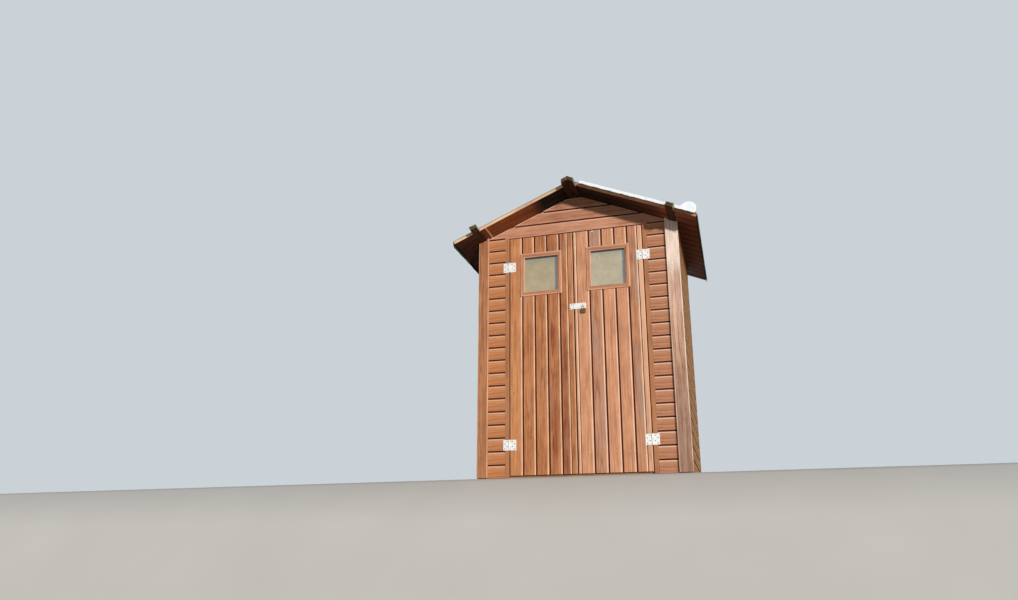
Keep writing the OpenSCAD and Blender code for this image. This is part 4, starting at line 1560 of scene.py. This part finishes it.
@dataclass
class RoofCover:
    """Mineral felt on both slopes, the ridge strip, and the pale sheet."""

    felt: FeltFinish
    sheet: SheetFinish
    felt_thick: float = 0.003
    felt_lift: float = 1.3 * MM
    felt_wave: float = 6 * MM
    drip: float = 0.040
    strip: float = 0.062
    strip_thick: float = 2.6 * MM
    strip_top: float = 2.0294
    sheet_thick: float = 0.0025
    sheet_in: float = 0.006
    sheet_gap: float = 0.008
    sheet_out: float = 0.050
    wrinkle: float = 3.2 * MM
    ragged: float = 2.5 * MM
    hem: float = 0.021
    ruck: float = 0.053
    ruck_long: float = 0.320

    def felt_piece(self, side: int) -> bpy.types.Mesh:
        """Makes the felt of one slope, with its ragged drip at the eaves.

        Args:
            side: 1 for the right slope and -1 for the left one.

        Returns:
            The felt's mesh.
        """
        ripple, rag = Ripple(31 + side, 0.5), Ripple(67 + side, 0.13, 5)
        cos, tan = math.cos(ROOF.pitch), math.tan(ROOF.pitch)
        edge = ROOF.half + ROOF.board * math.sin(ROOF.pitch) + ROOF.seat
        length = edge / cos
        slope = [*stops_between(0.0, length - 0.01, 0.035), length - 0.003, length]
        columns = [*slope, *[length + d for d in (0.004, 0.012, 0.02, 0.028, 0.034, self.drip)]]
        over = ROOF.board + 2 * ROOF.seat

        def spot(u: float, v: float) -> tuple[Vector, Vector]:
            """Upper and lower point at u down the felt and v along the eaves."""
            x = min(u, length) * cos
            low = ROOF.apex - x * tan + over / cos
            if u <= length:
                fade = min(1.0, (length - u) / 0.05, u / 0.03 + 0.1)
                lift = self.felt_lift * ripple.at(u, v) * max(0.0, fade)
                high = low + (self.felt_thick * 0.9 + lift) / cos
                inner = Vector((side * x, v, low + 0.1 * MM))
                if u < length - 0.002:
                    return Vector((side * x, v, high)), inner
                return Vector((side * (x + 2.2 * MM), v, high - 1.2 * MM)), inner
            share = (u - length) / self.drip
            hang = min(self.drip * (0.8 + 0.2 * rag.at(v, 0.0)) * share, self.drip)
            wave = -self.felt_wave * share * share * ripple.at(v, 3.0)
            inner_x = x + 0.2 * MM + (wave if share > 0.5 else 0.0)
            outer_x = min(inner_x + 2.6 * MM, edge + 2.9 * MM)
            z = low - hang
            return Vector((side * outer_x, v, z)), Vector((side * inner_x, v, z + 0.2 * MM))

        return sheet_mesh(columns, stops_between(ROOF.front, ROOF.back, 0.022), spot)

    def ridge_piece(self) -> bpy.types.Mesh:
        """Makes the strip of felt folded over the ridge, with its worn edges."""
        rag = Ripple(12, 0.2, 5)
        cos, tan = math.cos(ROOF.pitch), math.tan(ROOF.pitch)
        base = ROOF.board + self.felt_thick + 2 * ROOF.seat

        def spot(u: float, v: float) -> tuple[Vector, Vector]:
            """Upper and lower point at u across the ridge and v along it."""
            x = u * self.strip * (0.9 + 0.1 * rag.at(v, u * 0.2))
            soft = math.sqrt(x * x + 0.006**2)
            low = ROOF.apex - soft * tan + (base + 1.5 * MM) / cos - 0.7 * MM * abs(u)
            high = min(low + self.strip_thick, self.strip_top)
            return Vector((x, v, high)), Vector((x, v, high - self.strip_thick))

        columns = [u / 10 - 1 for u in range(21)]
        return sheet_mesh(columns, stops_between(ROOF.front, ROOF.back, 0.03), spot)

    def sheet_piece(self) -> bpy.types.Mesh:
        """Makes the pale sheet with its wrinkles, its ragged hem and the ruck."""
        crease, rag = Ripple(8, 0.34, 9), Ripple(9, 0.09, 6)
        start = (self.strip + self.sheet_gap) / math.cos(ROOF.pitch)
        end = ROOF.length - self.sheet_in
        middle = end - self.ruck
        base = ROOF.board + self.felt_thick + 2 * ROOF.seat + 0.1 * MM
        face = ROOF.front - self.sheet_out
        wide = self.sheet_thick
        opening = ROOF.purlin_wide / 2 + 3 * MM
        sides = [ROOF.purlin_along + s * (opening + d * MM) for s in (-1, 1) for d in (0, 1)]
        length = ROOF.back - face - wide

        def ruck_height(u: float, v: float) -> float:
            """Height of the ruck at u down the slope and v from the front."""
            radius = self.ruck * max(0.0, 1 - v / self.ruck_long)
            off = (u - middle) / max(radius, 1e-6)
            wave = 0.04 * math.sin(5 * off + 31 * v) * min(1.0, v / 0.05)
            return radius * math.sqrt(max(0.0, 1 - off * off)) * (0.95 + wave)

        def spot(u: float, v: float) -> tuple[Vector, Vector]:
            """Upper and lower point at u down the slope and v from the front edge."""
            depth = max(0.0, v)
            wrinkle = self.wrinkle * abs(2 * crease.at(u, depth * 0.6) - 1) ** 0.7
            height = base + max(wrinkle, ruck_height(u, depth))
            tear = self.ragged * rag.at(u, 0.0) * max(0.0, 1 - depth / 0.05)
            y = face + depth + wide + tear
            if v >= 0:
                return ROOF.on_slope(1, u, y, height + wide), ROOF.on_slope(1, u, y, height)
            # Front: closes the ruck down to the sheet's own level, then hangs down
            level = height + (base - height) * min(1.0, -v)
            if v < -1:
                clear = abs(u - ROOF.purlin_along) > opening
                drop = self.hem * (0.72 + 0.28 * rag.at(u, 1.0)) if clear else 0.8 * MM
                level -= drop * (-v - 1)
            upper = level + wide * max(0.0, 1 + v)
            return ROOF.on_slope(1, u, y - wide, upper), ROOF.on_slope(1, u, y, level)

        columns = sorted([*stops_between(start, end, 0.0071), *sides])
        rows = [*(-0.25 * i for i in range(8, 0, -1)), *stops_between(0.0, length, 0.014)]
        return sheet_mesh(columns, rows, spot)

    def build(self) -> None:
        """Builds the felt, the ridge strip and the sheet."""
        felt, sheet = self.felt.material(), self.sheet.material()
        for name, node, mesh, material, slot in (
            ("felt_left", "roof_felt_left", self.felt_piece(-1), felt, "roofing_felt"),
            ("felt_right", "roof_felt_right", self.felt_piece(1), felt, "roofing_felt"),
            ("felt_at_ridge", "ridge_felt", self.ridge_piece(), felt, "roofing_felt"),
            ("pale_sheet", "roof_sheet_right", self.sheet_piece(), sheet, "pale_sheet"),
        ):
            show(new_piece(name, mesh, material, True), "shed", slot, node)


@dataclass
class Leaf:
    """One boarded and glazed leaf of the door."""

    name: str
    left: float
    window: float
    widths: tuple[float, ...]
    tones: tuple[float, ...]
    greys: tuple[float, ...]
    bleached: tuple[float, ...]
    boards: WoodFinish
    trim: WoodFinish
    pane: GlassFinish
    front: float = -0.450
    low: float = 0.030
    high: float = 1.714
    thick: float = 0.018
    window_z: float = 1.428
    outer: tuple[float, float] = (0.148, 0.159)
    hole: tuple[float, float] = (0.120, 0.131)
    sight: float = 0.118
    mould_thick: float = 0.010
    narrow: float = 40 * MM
    slit: float = 11.5 * MM
    narrow_slit: float = 5 * MM
    slit_depth: float = 8 * MM
    mould_tones: tuple[float, ...] = (0.62, 0.55, 0.5, 0.66)

    def build(self) -> None:
        """Builds the boards and the window moulding, and dresses the pane."""
        timber = Timber()
        x = self.left
        last = len(self.widths) - 1
        boards = zip(self.widths, self.tones, self.greys, self.bleached)
        for i, (wide, tone, grey, pale) in enumerate(boards):
            narrow = min(wide, self.widths[min(i + 1, last)]) < self.narrow
            slit = self.narrow_slit if narrow else self.slit
            edges = {"rebated": i > 0, "lapped": i < last, "slit_depth": self.slit_depth}
            shape = BoardShape(wide, self.thick, slit, **edges)
            chance = random.Random(f"{self.name}{i}")
            ranges = ((0, 50), (-0.08, -0.01), (0.02, 0.05))
            timber.sweep(
                shape.section(),
                stops_between(self.low, self.high, 0.07),
                placed((x, self.front, 0.0), Z, X, -Y),
                tone,
                tuple(chance.uniform(*ends) for ends in ranges),
                waver(i * 7 + len(self.name), 0.7 * MM, 1.3),
                grey,
                curve((0.2, 0.2 * pale), (1.3, pale)),
            )
            x += wide
        middle = Vector((self.window, 0.0, self.window_z))
        halves = ((Z, self.hole[1]), (X, self.hole[0]))
        hole = [(middle + way * half * s, way * s) for way, half in halves for s in (1, -1)]
        front = without(timber.mesh(), hole)
        piece = new_piece(f"{self.name}_leaf_front", front, self.boards.material())
        show(piece, f"{self.name}_door", "door_wood", f"{self.name}_leaf_boards")
        self.moulding(middle)
        dress(self.pane.material(), f"{self.name}_window_glass")

    def moulding(self, middle: Vector) -> None:
        """Builds the mitred moulding round the window.

        Args:
            middle: the middle of the window.
        """
        wide, thick = self.outer[0] - self.sight, self.mould_thick
        # Wear across the section: the outer arris is rubbed pale; the quirk near the sight is
        # darkened, dirt with painted shade; the inner edge and face are pale, worn and a painted
        # highlight where the sun lights them
        section = [
            (0.0, thick, 0.2),
            (0.0, 3.5 * MM, 0.7),
            (1.2 * MM, 1.4 * MM, 0.8),
            (3.5 * MM, 0.0, 0.9),
            (7 * MM, 0.0, 0.2),
            (wide - 13 * MM, 0.0, 0.0),
            (wide - 10 * MM, 0.0, 0.3),
            (wide - 8.5 * MM, 2.4 * MM, -0.3),
            (wide - 4 * MM, 3.0 * MM, 0.2),
            (wide - 1 * MM, 5.0 * MM, 1.0),
            (wide, 6.5 * MM, 0.9),
            (wide, thick, 0.4),
        ]
        parts = []
        for i, tone in enumerate(self.mould_tones):
            turn = Matrix.Rotation(i * math.pi / 2, 3, "Y")
            half, rise = self.outer[i % 2], self.outer[(i + 1) % 2]
            along, across = turn @ X, turn @ -Z
            edge = middle - across * rise
            place = placed(edge + Y * (self.front - thick), along, across, -Y)
            side = Timber()
            stops = stops_between(-half, half, 0.06)
            side.sweep(section, stops, place, tone, (3.1 * i, -0.02, 0.03))
            ways = (along, -along)
            mitres = [(edge + way * half, (way + across).normalized()) for way in ways]
            parts.append(trimmed(side.mesh(), mitres))
        piece = Timber(*parts).piece(f"{self.name}_moulding", self.trim.material())
        show(piece, f"{self.name}_door", "moulding_wood", f"{self.name}_window_moulding")


@dataclass
class Ironwork:
    """Hinges, hasp and padlock from the CAD, with their screws and the nails."""

    zinc: MetalFinish
    brass: MetalFinish
    steel: MetalFinish
    screw: MetalFinish
    nail: MetalFinish
    heads: HeadTree
    front: float = -0.450
    plate: float = 0.002
    hinge_z: tuple[float, float] = (1.495, 0.232)
    axes: tuple[float, float] = (-0.480, 0.462)
    hasp: tuple[float, float] = (-0.022, 1.164)

    def spot(self, x: float, z: float, proud: float = 0.0) -> Vector:
        """Place on the front at x and z millimetres, so many millimetres proud of it."""
        return Vector((x * MM, self.front - proud * MM, z * MM))

    def zigzag(self, x: float, outward: int) -> list[Vector]:
        """Places of the screws of the two hinge plates on one side of an axis.

        Args:
            x: the hinges' axis.
            outward: 1 for plates on the right of the axis and -1 on the left.

        Returns:
            The middle of each screw on the plates.
        """
        rows = ((-25, 33), (-9, 17), (9, 33), (25, 17))
        return [
            Vector((x + outward * a * MM, self.front - self.plate, z + h * MM))
            for z in self.hinge_z
            for h, a in rows
        ]

    def set_heads(
        self,
        name: str,
        body: str,
        spots: Sequence[Vector],
        head: bpy.types.Mesh,
        material: bpy.types.Material,
        seed: int,
        facing: Vector = -Y,
    ) -> None:
        """Sets some heads as one piece.

        Args:
            name: the piece's name.
            body: the CAD body that it rides on.
            spots: the middle of each head on the surface.
            head: the head's mesh, facing +Z.
            material: the heads' finish.
            seed: fixes how each head is turned.
            facing: the direction that the heads look in.
        """
        piece = self.heads.place(name, spots, head, facing, material, seed)
        show(piece, body, "zinc_plated_steel")

    def build(self) -> None:
        """Dresses the CAD ironwork and sets its screws and the nails."""
        zinc, screws = self.zinc.material(), self.screw.material()
        sides = ("frame_left", "frame_right", "leaf_left", "leaf_right")
        dress(zinc, *(f"hinge_plates_{side}" for side in sides))
        dress(zinc, "hasp_plate", "hasp_strap", "hasp_staple")
        dress(self.brass.material(), "padlock_body")
        dress(self.steel.material(), "padlock_shackle")
        screw = head_mesh(3.6 * MM, 0.7 * MM, 0.9 * MM)
        left, right = self.axes
        plate = Vector((self.hasp[0] - 21 * MM, self.front - self.plate, self.hasp[1]))
        on_hasp = [plate + (X * 3 + Z * 12) * MM * s for s in (-1, 1)]
        for name, body, spots, seed in (
            ("frame", "shed", [*self.zigzag(left, -1), *self.zigzag(right, 1)], 1),
            ("left_leaf", "left_door", [*self.zigzag(left, 1), *on_hasp], 2),
            ("right_leaf", "right_door", self.zigzag(right, -1), 3),
        ):
            self.set_heads(f"screws_on_{name}", body, spots, screw, screws, seed)
        nails = self.nail.material()
        self.nails(nails)
        # Two screws were never stained over and still shine
        bright = head_mesh(4.5 * MM, 0.8 * MM, 0.6 * MM)
        for name, body, spot in (
            ("leaf", "right_door", self.spot(118, 1706)),
            ("corner", "shed", self.spot(653, 1402, 20)),
        ):
            self.set_heads(f"bright_screw_{name}", body, [spot], bright, zinc, 9)
        self.clouts(nails)

    def nails(self, material: bpy.types.Material) -> None:
        """Sets the nails of the siding, the corner boards and the leaves.

        Args:
            material: their finish.
        """
        nail = head_mesh(2.2 * MM, 0.35 * MM)
        lowest, cover, ridge, margin = 42, 90, 2001, 60
        courses = range(lowest, lowest + 19 * cover, cover)
        fixed = [self.spot(x, z) for z in courses for x in (-620, -538, 520, 606)]
        for z in (1750, 1790, 1840, 1878):
            reach = (ridge - z) / math.tan(ROOF.pitch) - margin
            fixed += [self.spot(x, z) for x in (-480, -240, 0, 240, 460) if abs(x) < reach]
        for z in range(60, 1640, 260):
            fixed += [self.spot(x, z, 20) for x in (-670, 640, 684)]
        self.set_heads("nails_front", "shed", fixed, nail, material, 4)
        rows = (148, 182, 1178, 1222, 1630, 1664)
        for name, columns in (
            ("left", (-430, -335, -246, -157, -86, -43)),
            ("right", (50, 141, 230, 319, 411)),
        ):
            spots = [self.spot(x, z) for x in columns for z in rows]
            self.set_heads(f"nails_{name}_leaf", f"{name}_door", spots, nail, material, 6)

    def clouts(self, material: bpy.types.Material) -> None:
        """Sets the broad nails of the felt.

        Args:
            material: their finish.
        """
        clout = head_mesh(4.5 * MM, 0.7 * MM)
        height, eaves = ROOF.board + 4.1 * MM, ROOF.length - 16 * MM
        rows = stops_between(ROOF.front + 0.02, ROOF.back - 0.02, 0.1)
        for name, side, lines in (("left", -1, (eaves, 75 * MM)), ("right", 1, (eaves,))):
            spots = [ROOF.on_slope(side, along, y, height) for y in rows for along in lines]
            up = ROOF.up_from(side)
            self.set_heads(f"clouts_{name}", "shed", spots, clout, material, 8, up)


@dataclass
class Carcass:
    """Floor and frame timbers inside, left as the CAD has them."""

    frame_wood: WoodFinish
    floor_wood: WoodFinish
    jamb_wood: WoodFinish
    floor_cover: float = 0.098

    def build(self) -> None:
        """Dresses the CAD timbers, each with its grain along its length."""
        dress(self.frame_wood.along(GrainAxis.Z), "corner_posts", "gable_studs")
        dress(
            self.frame_wood.along(GrainAxis.X),
            "sole_plates",
            "wall_plates",
            "door_header",
            "left_leaf_ledges",
            "right_leaf_ledges",
            "left_window_bead",
            "right_window_bead",
        )
        dress(self.jamb_wood.along(GrainAxis.Z), "jamb_left", "jamb_right")
        dress(self.floor_wood.along(GrainAxis.X, self.floor_cover), "floor_boards", "bearers")


@dataclass
class Studio:
    """Pale terrace and bank, soft lamps, and the camera at the photograph's angle."""

    camera_place: tuple[float, float, float] = (0.991, -5.653, -0.602)
    turn_left: float = 16.46
    tilt_up: float = 17.50
    roll: float = 0.19
    focal_px: float = 812.33
    middle: tuple[float, float] = (500.70, 320.44)
    image: tuple[int, int] = (1018, 600)
    sensor: float = 36.0
    sun_from: tuple[float, float, float] = (0.68, -1.0, 0.145)
    sun_strength: float = 3.0
    sky: float = 0.34
    floor_colours: tuple[str, str] = ("D2CFC9", "DAD8D3")

    def ground(self) -> None:
        """Makes the floor: a terrace under the shed and a bank down to the camera."""
        shape = [(6.0, 0.0), (-0.58, 0.0), (-0.72, -0.03), (-1.1, -0.3), (-1.7, -0.95)]
        shape += [(-2.4, -1.35), (-3.4, -1.5), (-14.0, -1.5)]
        points = [(x, y, z) for y, z in shape for x in (-9.0, 9.0)]
        faces = [[2 * i, 2 * i + 1, 2 * i + 3, 2 * i + 2] for i in range(len(shape) - 1)]
        mesh = bpy.data.meshes.new("ground")
        mesh.from_pydata(points, [], faces)

        def surface(node: NodeMaker) -> bpy.types.Node:
            """Builds a dull surface of two close tones."""
            cloud = node("TexNoise", {"Vector": node("TexCoord").outputs["Object"], "Scale": 2.0})
            low, high = (linear(code) for code in self.floor_colours)
            colour = node("Mix", {0: cloud, 6: low, 7: high}, **RGBA)
            return node("BsdfPrincipled", {"Base Color": colour, "Roughness": 0.9})

        new_piece("ground", mesh, new_material("plain_floor", surface), True)

    def light(self) -> None:
        """Makes the low key lamp from the front right and the soft surroundings."""
        lamp = bpy.data.lights.new("key", "SUN")
        lamp.energy = self.sun_strength
        lamp.angle = math.radians(4.0)
        lamp.color = (1.0, 0.965, 0.92)
        key = new_object("key", lamp)
        key.rotation_mode = "QUATERNION"
        key.rotation_quaternion = Vector(self.sun_from).to_track_quat("Z", "Y")
        world = bpy.data.worlds.new("studio")
        bpy.context.scene.world = world
        world.use_nodes = True
        world.node_tree.nodes.clear()
        node = partial(add_node, world.node_tree)
        # The camera sees the sky brighter than it lights the shed
        path = node("LightPath").outputs
        seen = path["Is Camera Ray"]
        for kind in ("Is Glossy Ray", "Is Transmission Ray"):
            seen = node("Math", {0: seen, 1: path[kind]}, operation="MAXIMUM")
        strength = node("MapRange", {"Value": seen, "To Min": self.sky, "To Max": 1.0})
        backdrop = node("Background", {"Color": linear("CBD2D7"), "Strength": strength})
        node("OutputWorld", {"Surface": backdrop})

    def camera(self) -> None:
        """Makes the camera that the fit to the photograph gives."""
        yaw, pitch, roll = map(math.radians, (self.turn_left, self.tilt_up, self.roll))
        level = Vector((math.cos(yaw), math.sin(yaw), 0.0))
        flat = Vector((-math.sin(yaw), math.cos(yaw), 0.0))
        ahead = flat * math.cos(pitch) + Z * math.sin(pitch)
        upright = level.cross(ahead)
        right = level * math.cos(roll) + upright * math.sin(roll)
        up = upright * math.cos(roll) - level * math.sin(roll)
        wide, high = self.image
        data = bpy.data.cameras.new("camera")
        data.sensor_width = self.sensor
        data.lens = self.focal_px * self.sensor / wide
        data.shift_x = (wide / 2 - self.middle[0]) / wide
        data.shift_y = (self.middle[1] - high / 2) / wide
        camera = new_object("camera", data)
        turn = Matrix((right, up, -ahead)).transposed().to_4x4()
        camera.matrix_world = Matrix.Translation(Vector(self.camera_place)) @ turn
        bpy.context.scene.camera = camera

    def build(self) -> None:
        """Builds the stage."""
        self.camera()
        self.ground()
        self.light()
        bpy.context.scene.view_settings.view_transform = "Standard"


# Orange-brown decorating stain on planed softwood siding, weathered by the sun
SIDING_WOOD = WoodFinish("siding_stained", "864624", "DE9966", "EFC3A0", contrast=0.6)
# The panel right of the doors, paler from the sun
SUNNED_SIDING = WoodFinish("siding_sunned", "96583A", "ECB48E", "F2CDB0", contrast=0.6)
# The right wall: a brighter, golden copy of the stain, painted as the sun lighting that side
SUNLIT_SIDING = WoodFinish("siding_golden", "824E1E", "E2AA62", "F0C890")
# The gable over the doors, duller and pinker
GABLE_WOOD = WoodFinish("gable_stained", "8A5036", "DA9F80", "EBC0A4")
# The same stain on the leaves, a little fresher
DOOR_WOOD = WoodFinish("door_stained", "7E3F26", "DF9B67", "F0C29C")
# The right leaf stands in the sun for longer and is paler
RIGHT_DOOR_WOOD = WoodFinish("door_sunned", "7E432B", "DEA17A", "F0C8AA")
# Left and back corner boards: thicker stain
TRIM_WOOD = WoodFinish("trim_stained", "864C2C", "D0966C", "E8BE98")
# Right corner board, bleached by the sun
BLEACHED_WOOD = WoodFinish(
    "trim_bleached", "8A5C42", "DDB39A", "FDEBDC", "5A3A28", "B79C8C", "4A2C1E", contrast=1.3
)
# Window mouldings: dressed softwood with a redder stain
MOULDING_WOOD = WoodFinish("moulding_stained", "84462C", "CF906C", "ECC09E", "45200F")
# Jamb strips beside the leaves
JAMB_WOOD = WoodFinish("jamb_stained", "80442A", "D09468", "E8C19C", "45200F")
# Purlins: rough-sawn timber coloured near black as painted shade on their undersides, with greyed
# ends
PURLIN_WOOD = WoodFinish("purlin_painted_shade", "180A04", "4A2814", "CBB48A", "2A120A", contrast=0.6)
# Roof boards seen from below, stained dark and made darker as painted shade under the roof, with
# pale sawn edges; their near-black dirt colour is painted shade
DECK_WOOD = WoodFinish("deck_stained", "3E1B0C", "A2572E", "F6CFA6", "3A1A0C", dirt_and_shade="060201")
# Frame timbers inside, bare and yellowed
FRAME_WOOD = WoodFinish("frame_bare", "8F6A45", "C9A477", "D9BD93", "6B4A2C")
# Floor boards and bearers, dulled by boots and damp
FLOOR_WOOD = WoodFinish("floor_worn", "6A5038", "A98A65", "BBA27E", "4A3523")
# Black mineral felt, greyed by dust
FELT = FeltFinish("felt_mineral", "1E1E20", "3D3D3F", "8E8A82")
# White woven membrane, laid over the right slope
SHEET = SheetFinish("membrane_pale", "F4F7FC", "D2CEC4")
# Bright zinc on the pressed hinges and the hasp, lightly bloomed
ZINC = MetalFinish("zinc_bright", "F6F4F2", "E8E6E4", "B8B2A8", 0.5, 0.2, patches=0.15)
# Brass of the padlock's case, browned by the weather
BRASS = MetalFinish("brass_tarnished", "8A6438", "5E4022", "38240F", 0.42, 0.85, 12 * MM, 0.6)
# Hardened steel of the padlock's shackle, dulled
STEEL = MetalFinish("shackle_dulled", "E2DED0", "C4BFAE", "6E5F4C", 0.4, 0.5, 10 * MM, 0.3)
# Passivated steel of the screws in the hinges and the hasp
SCREW = MetalFinish("screw_passivated", "57524A", "46413A", "2E241B", 0.5, 0.7, 3 * MM, 0.5)
# Nail heads with the wood's stain brushed over them
NAIL = MetalFinish("nail_painted_over", "8A5A40", "7A4C34", "4A2A1A", 0.6, 0.2, 3 * MM, 0.6)
# Dusty panes: the right one is paler and scratched
LEFT_PANE = GlassFinish("pane_dusty_left", "BAAB8A", (-0.2515, -0.45, 1.428), 0.1)
RIGHT_PANE = GlassFinish("pane_dusty_right", "C4BAA0", (0.2205, -0.45, 1.428), 0.9)


def main() -> None:
    """Builds the shed's pieces in order on the CAD frame, then the stage."""
    logging.basicConfig(level=logging.INFO, format="%(message)s")
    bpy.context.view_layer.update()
    boards = RepeatTree()
    Siding(SIDING_WOOD, SUNNED_SIDING, GABLE_WOOD, SUNLIT_SIDING, boards).build()
    CornerBoards(TRIM_WOOD, BLEACHED_WOOD).build()
    Purlins(PURLIN_WOOD).build()
    RoofDeck(DECK_WOOD, boards).build()
    RoofCover(FELT, SHEET).build()
    Leaf(
        name="left",
        left=-0.476,
        window=-0.2515,
        widths=(0.095, 0.089, 0.089, 0.089, 0.055, 0.032),
        tones=(0.62, 0.42, 0.34, 0.22, 0.14, 0.45),
        greys=(0.0, 0.1, 0.05, 0.1, 0.2, 0.0),
        bleached=(0.0, 0.0, 0.0, 0.0, 0.0, 0.0),
        boards=DOOR_WOOD,
        trim=MOULDING_WOOD,
        pane=LEFT_PANE,
    ).build()
    Leaf(
        name="right",
        left=-0.017,
        window=0.2205,
        widths=(0.022, 0.091, 0.089, 0.089, 0.089, 0.066, 0.029),
        tones=(0.8, 0.78, 0.45, 0.8, 0.72, 0.45, 0.9),
        greys=(0.0, 0.0, 0.36, 0.05, 0.1, 0.3, 0.1),
        # The last board's pale wear, rising towards the top, is a painted highlight of the leaf's
        # sunlit right edge
        bleached=(0.1, 0.0, 0.0, 0.0, 0.0, 0.0, 0.4),
        boards=RIGHT_DOOR_WOOD,
        trim=MOULDING_WOOD,
        pane=RIGHT_PANE,
    ).build()
    Ironwork(ZINC, BRASS, STEEL, SCREW, NAIL, HeadTree()).build()
    Carcass(FRAME_WOOD, FLOOR_WOOD, JAMB_WOOD).build()
    Studio().build()


if __name__ == "__main__":
    main()
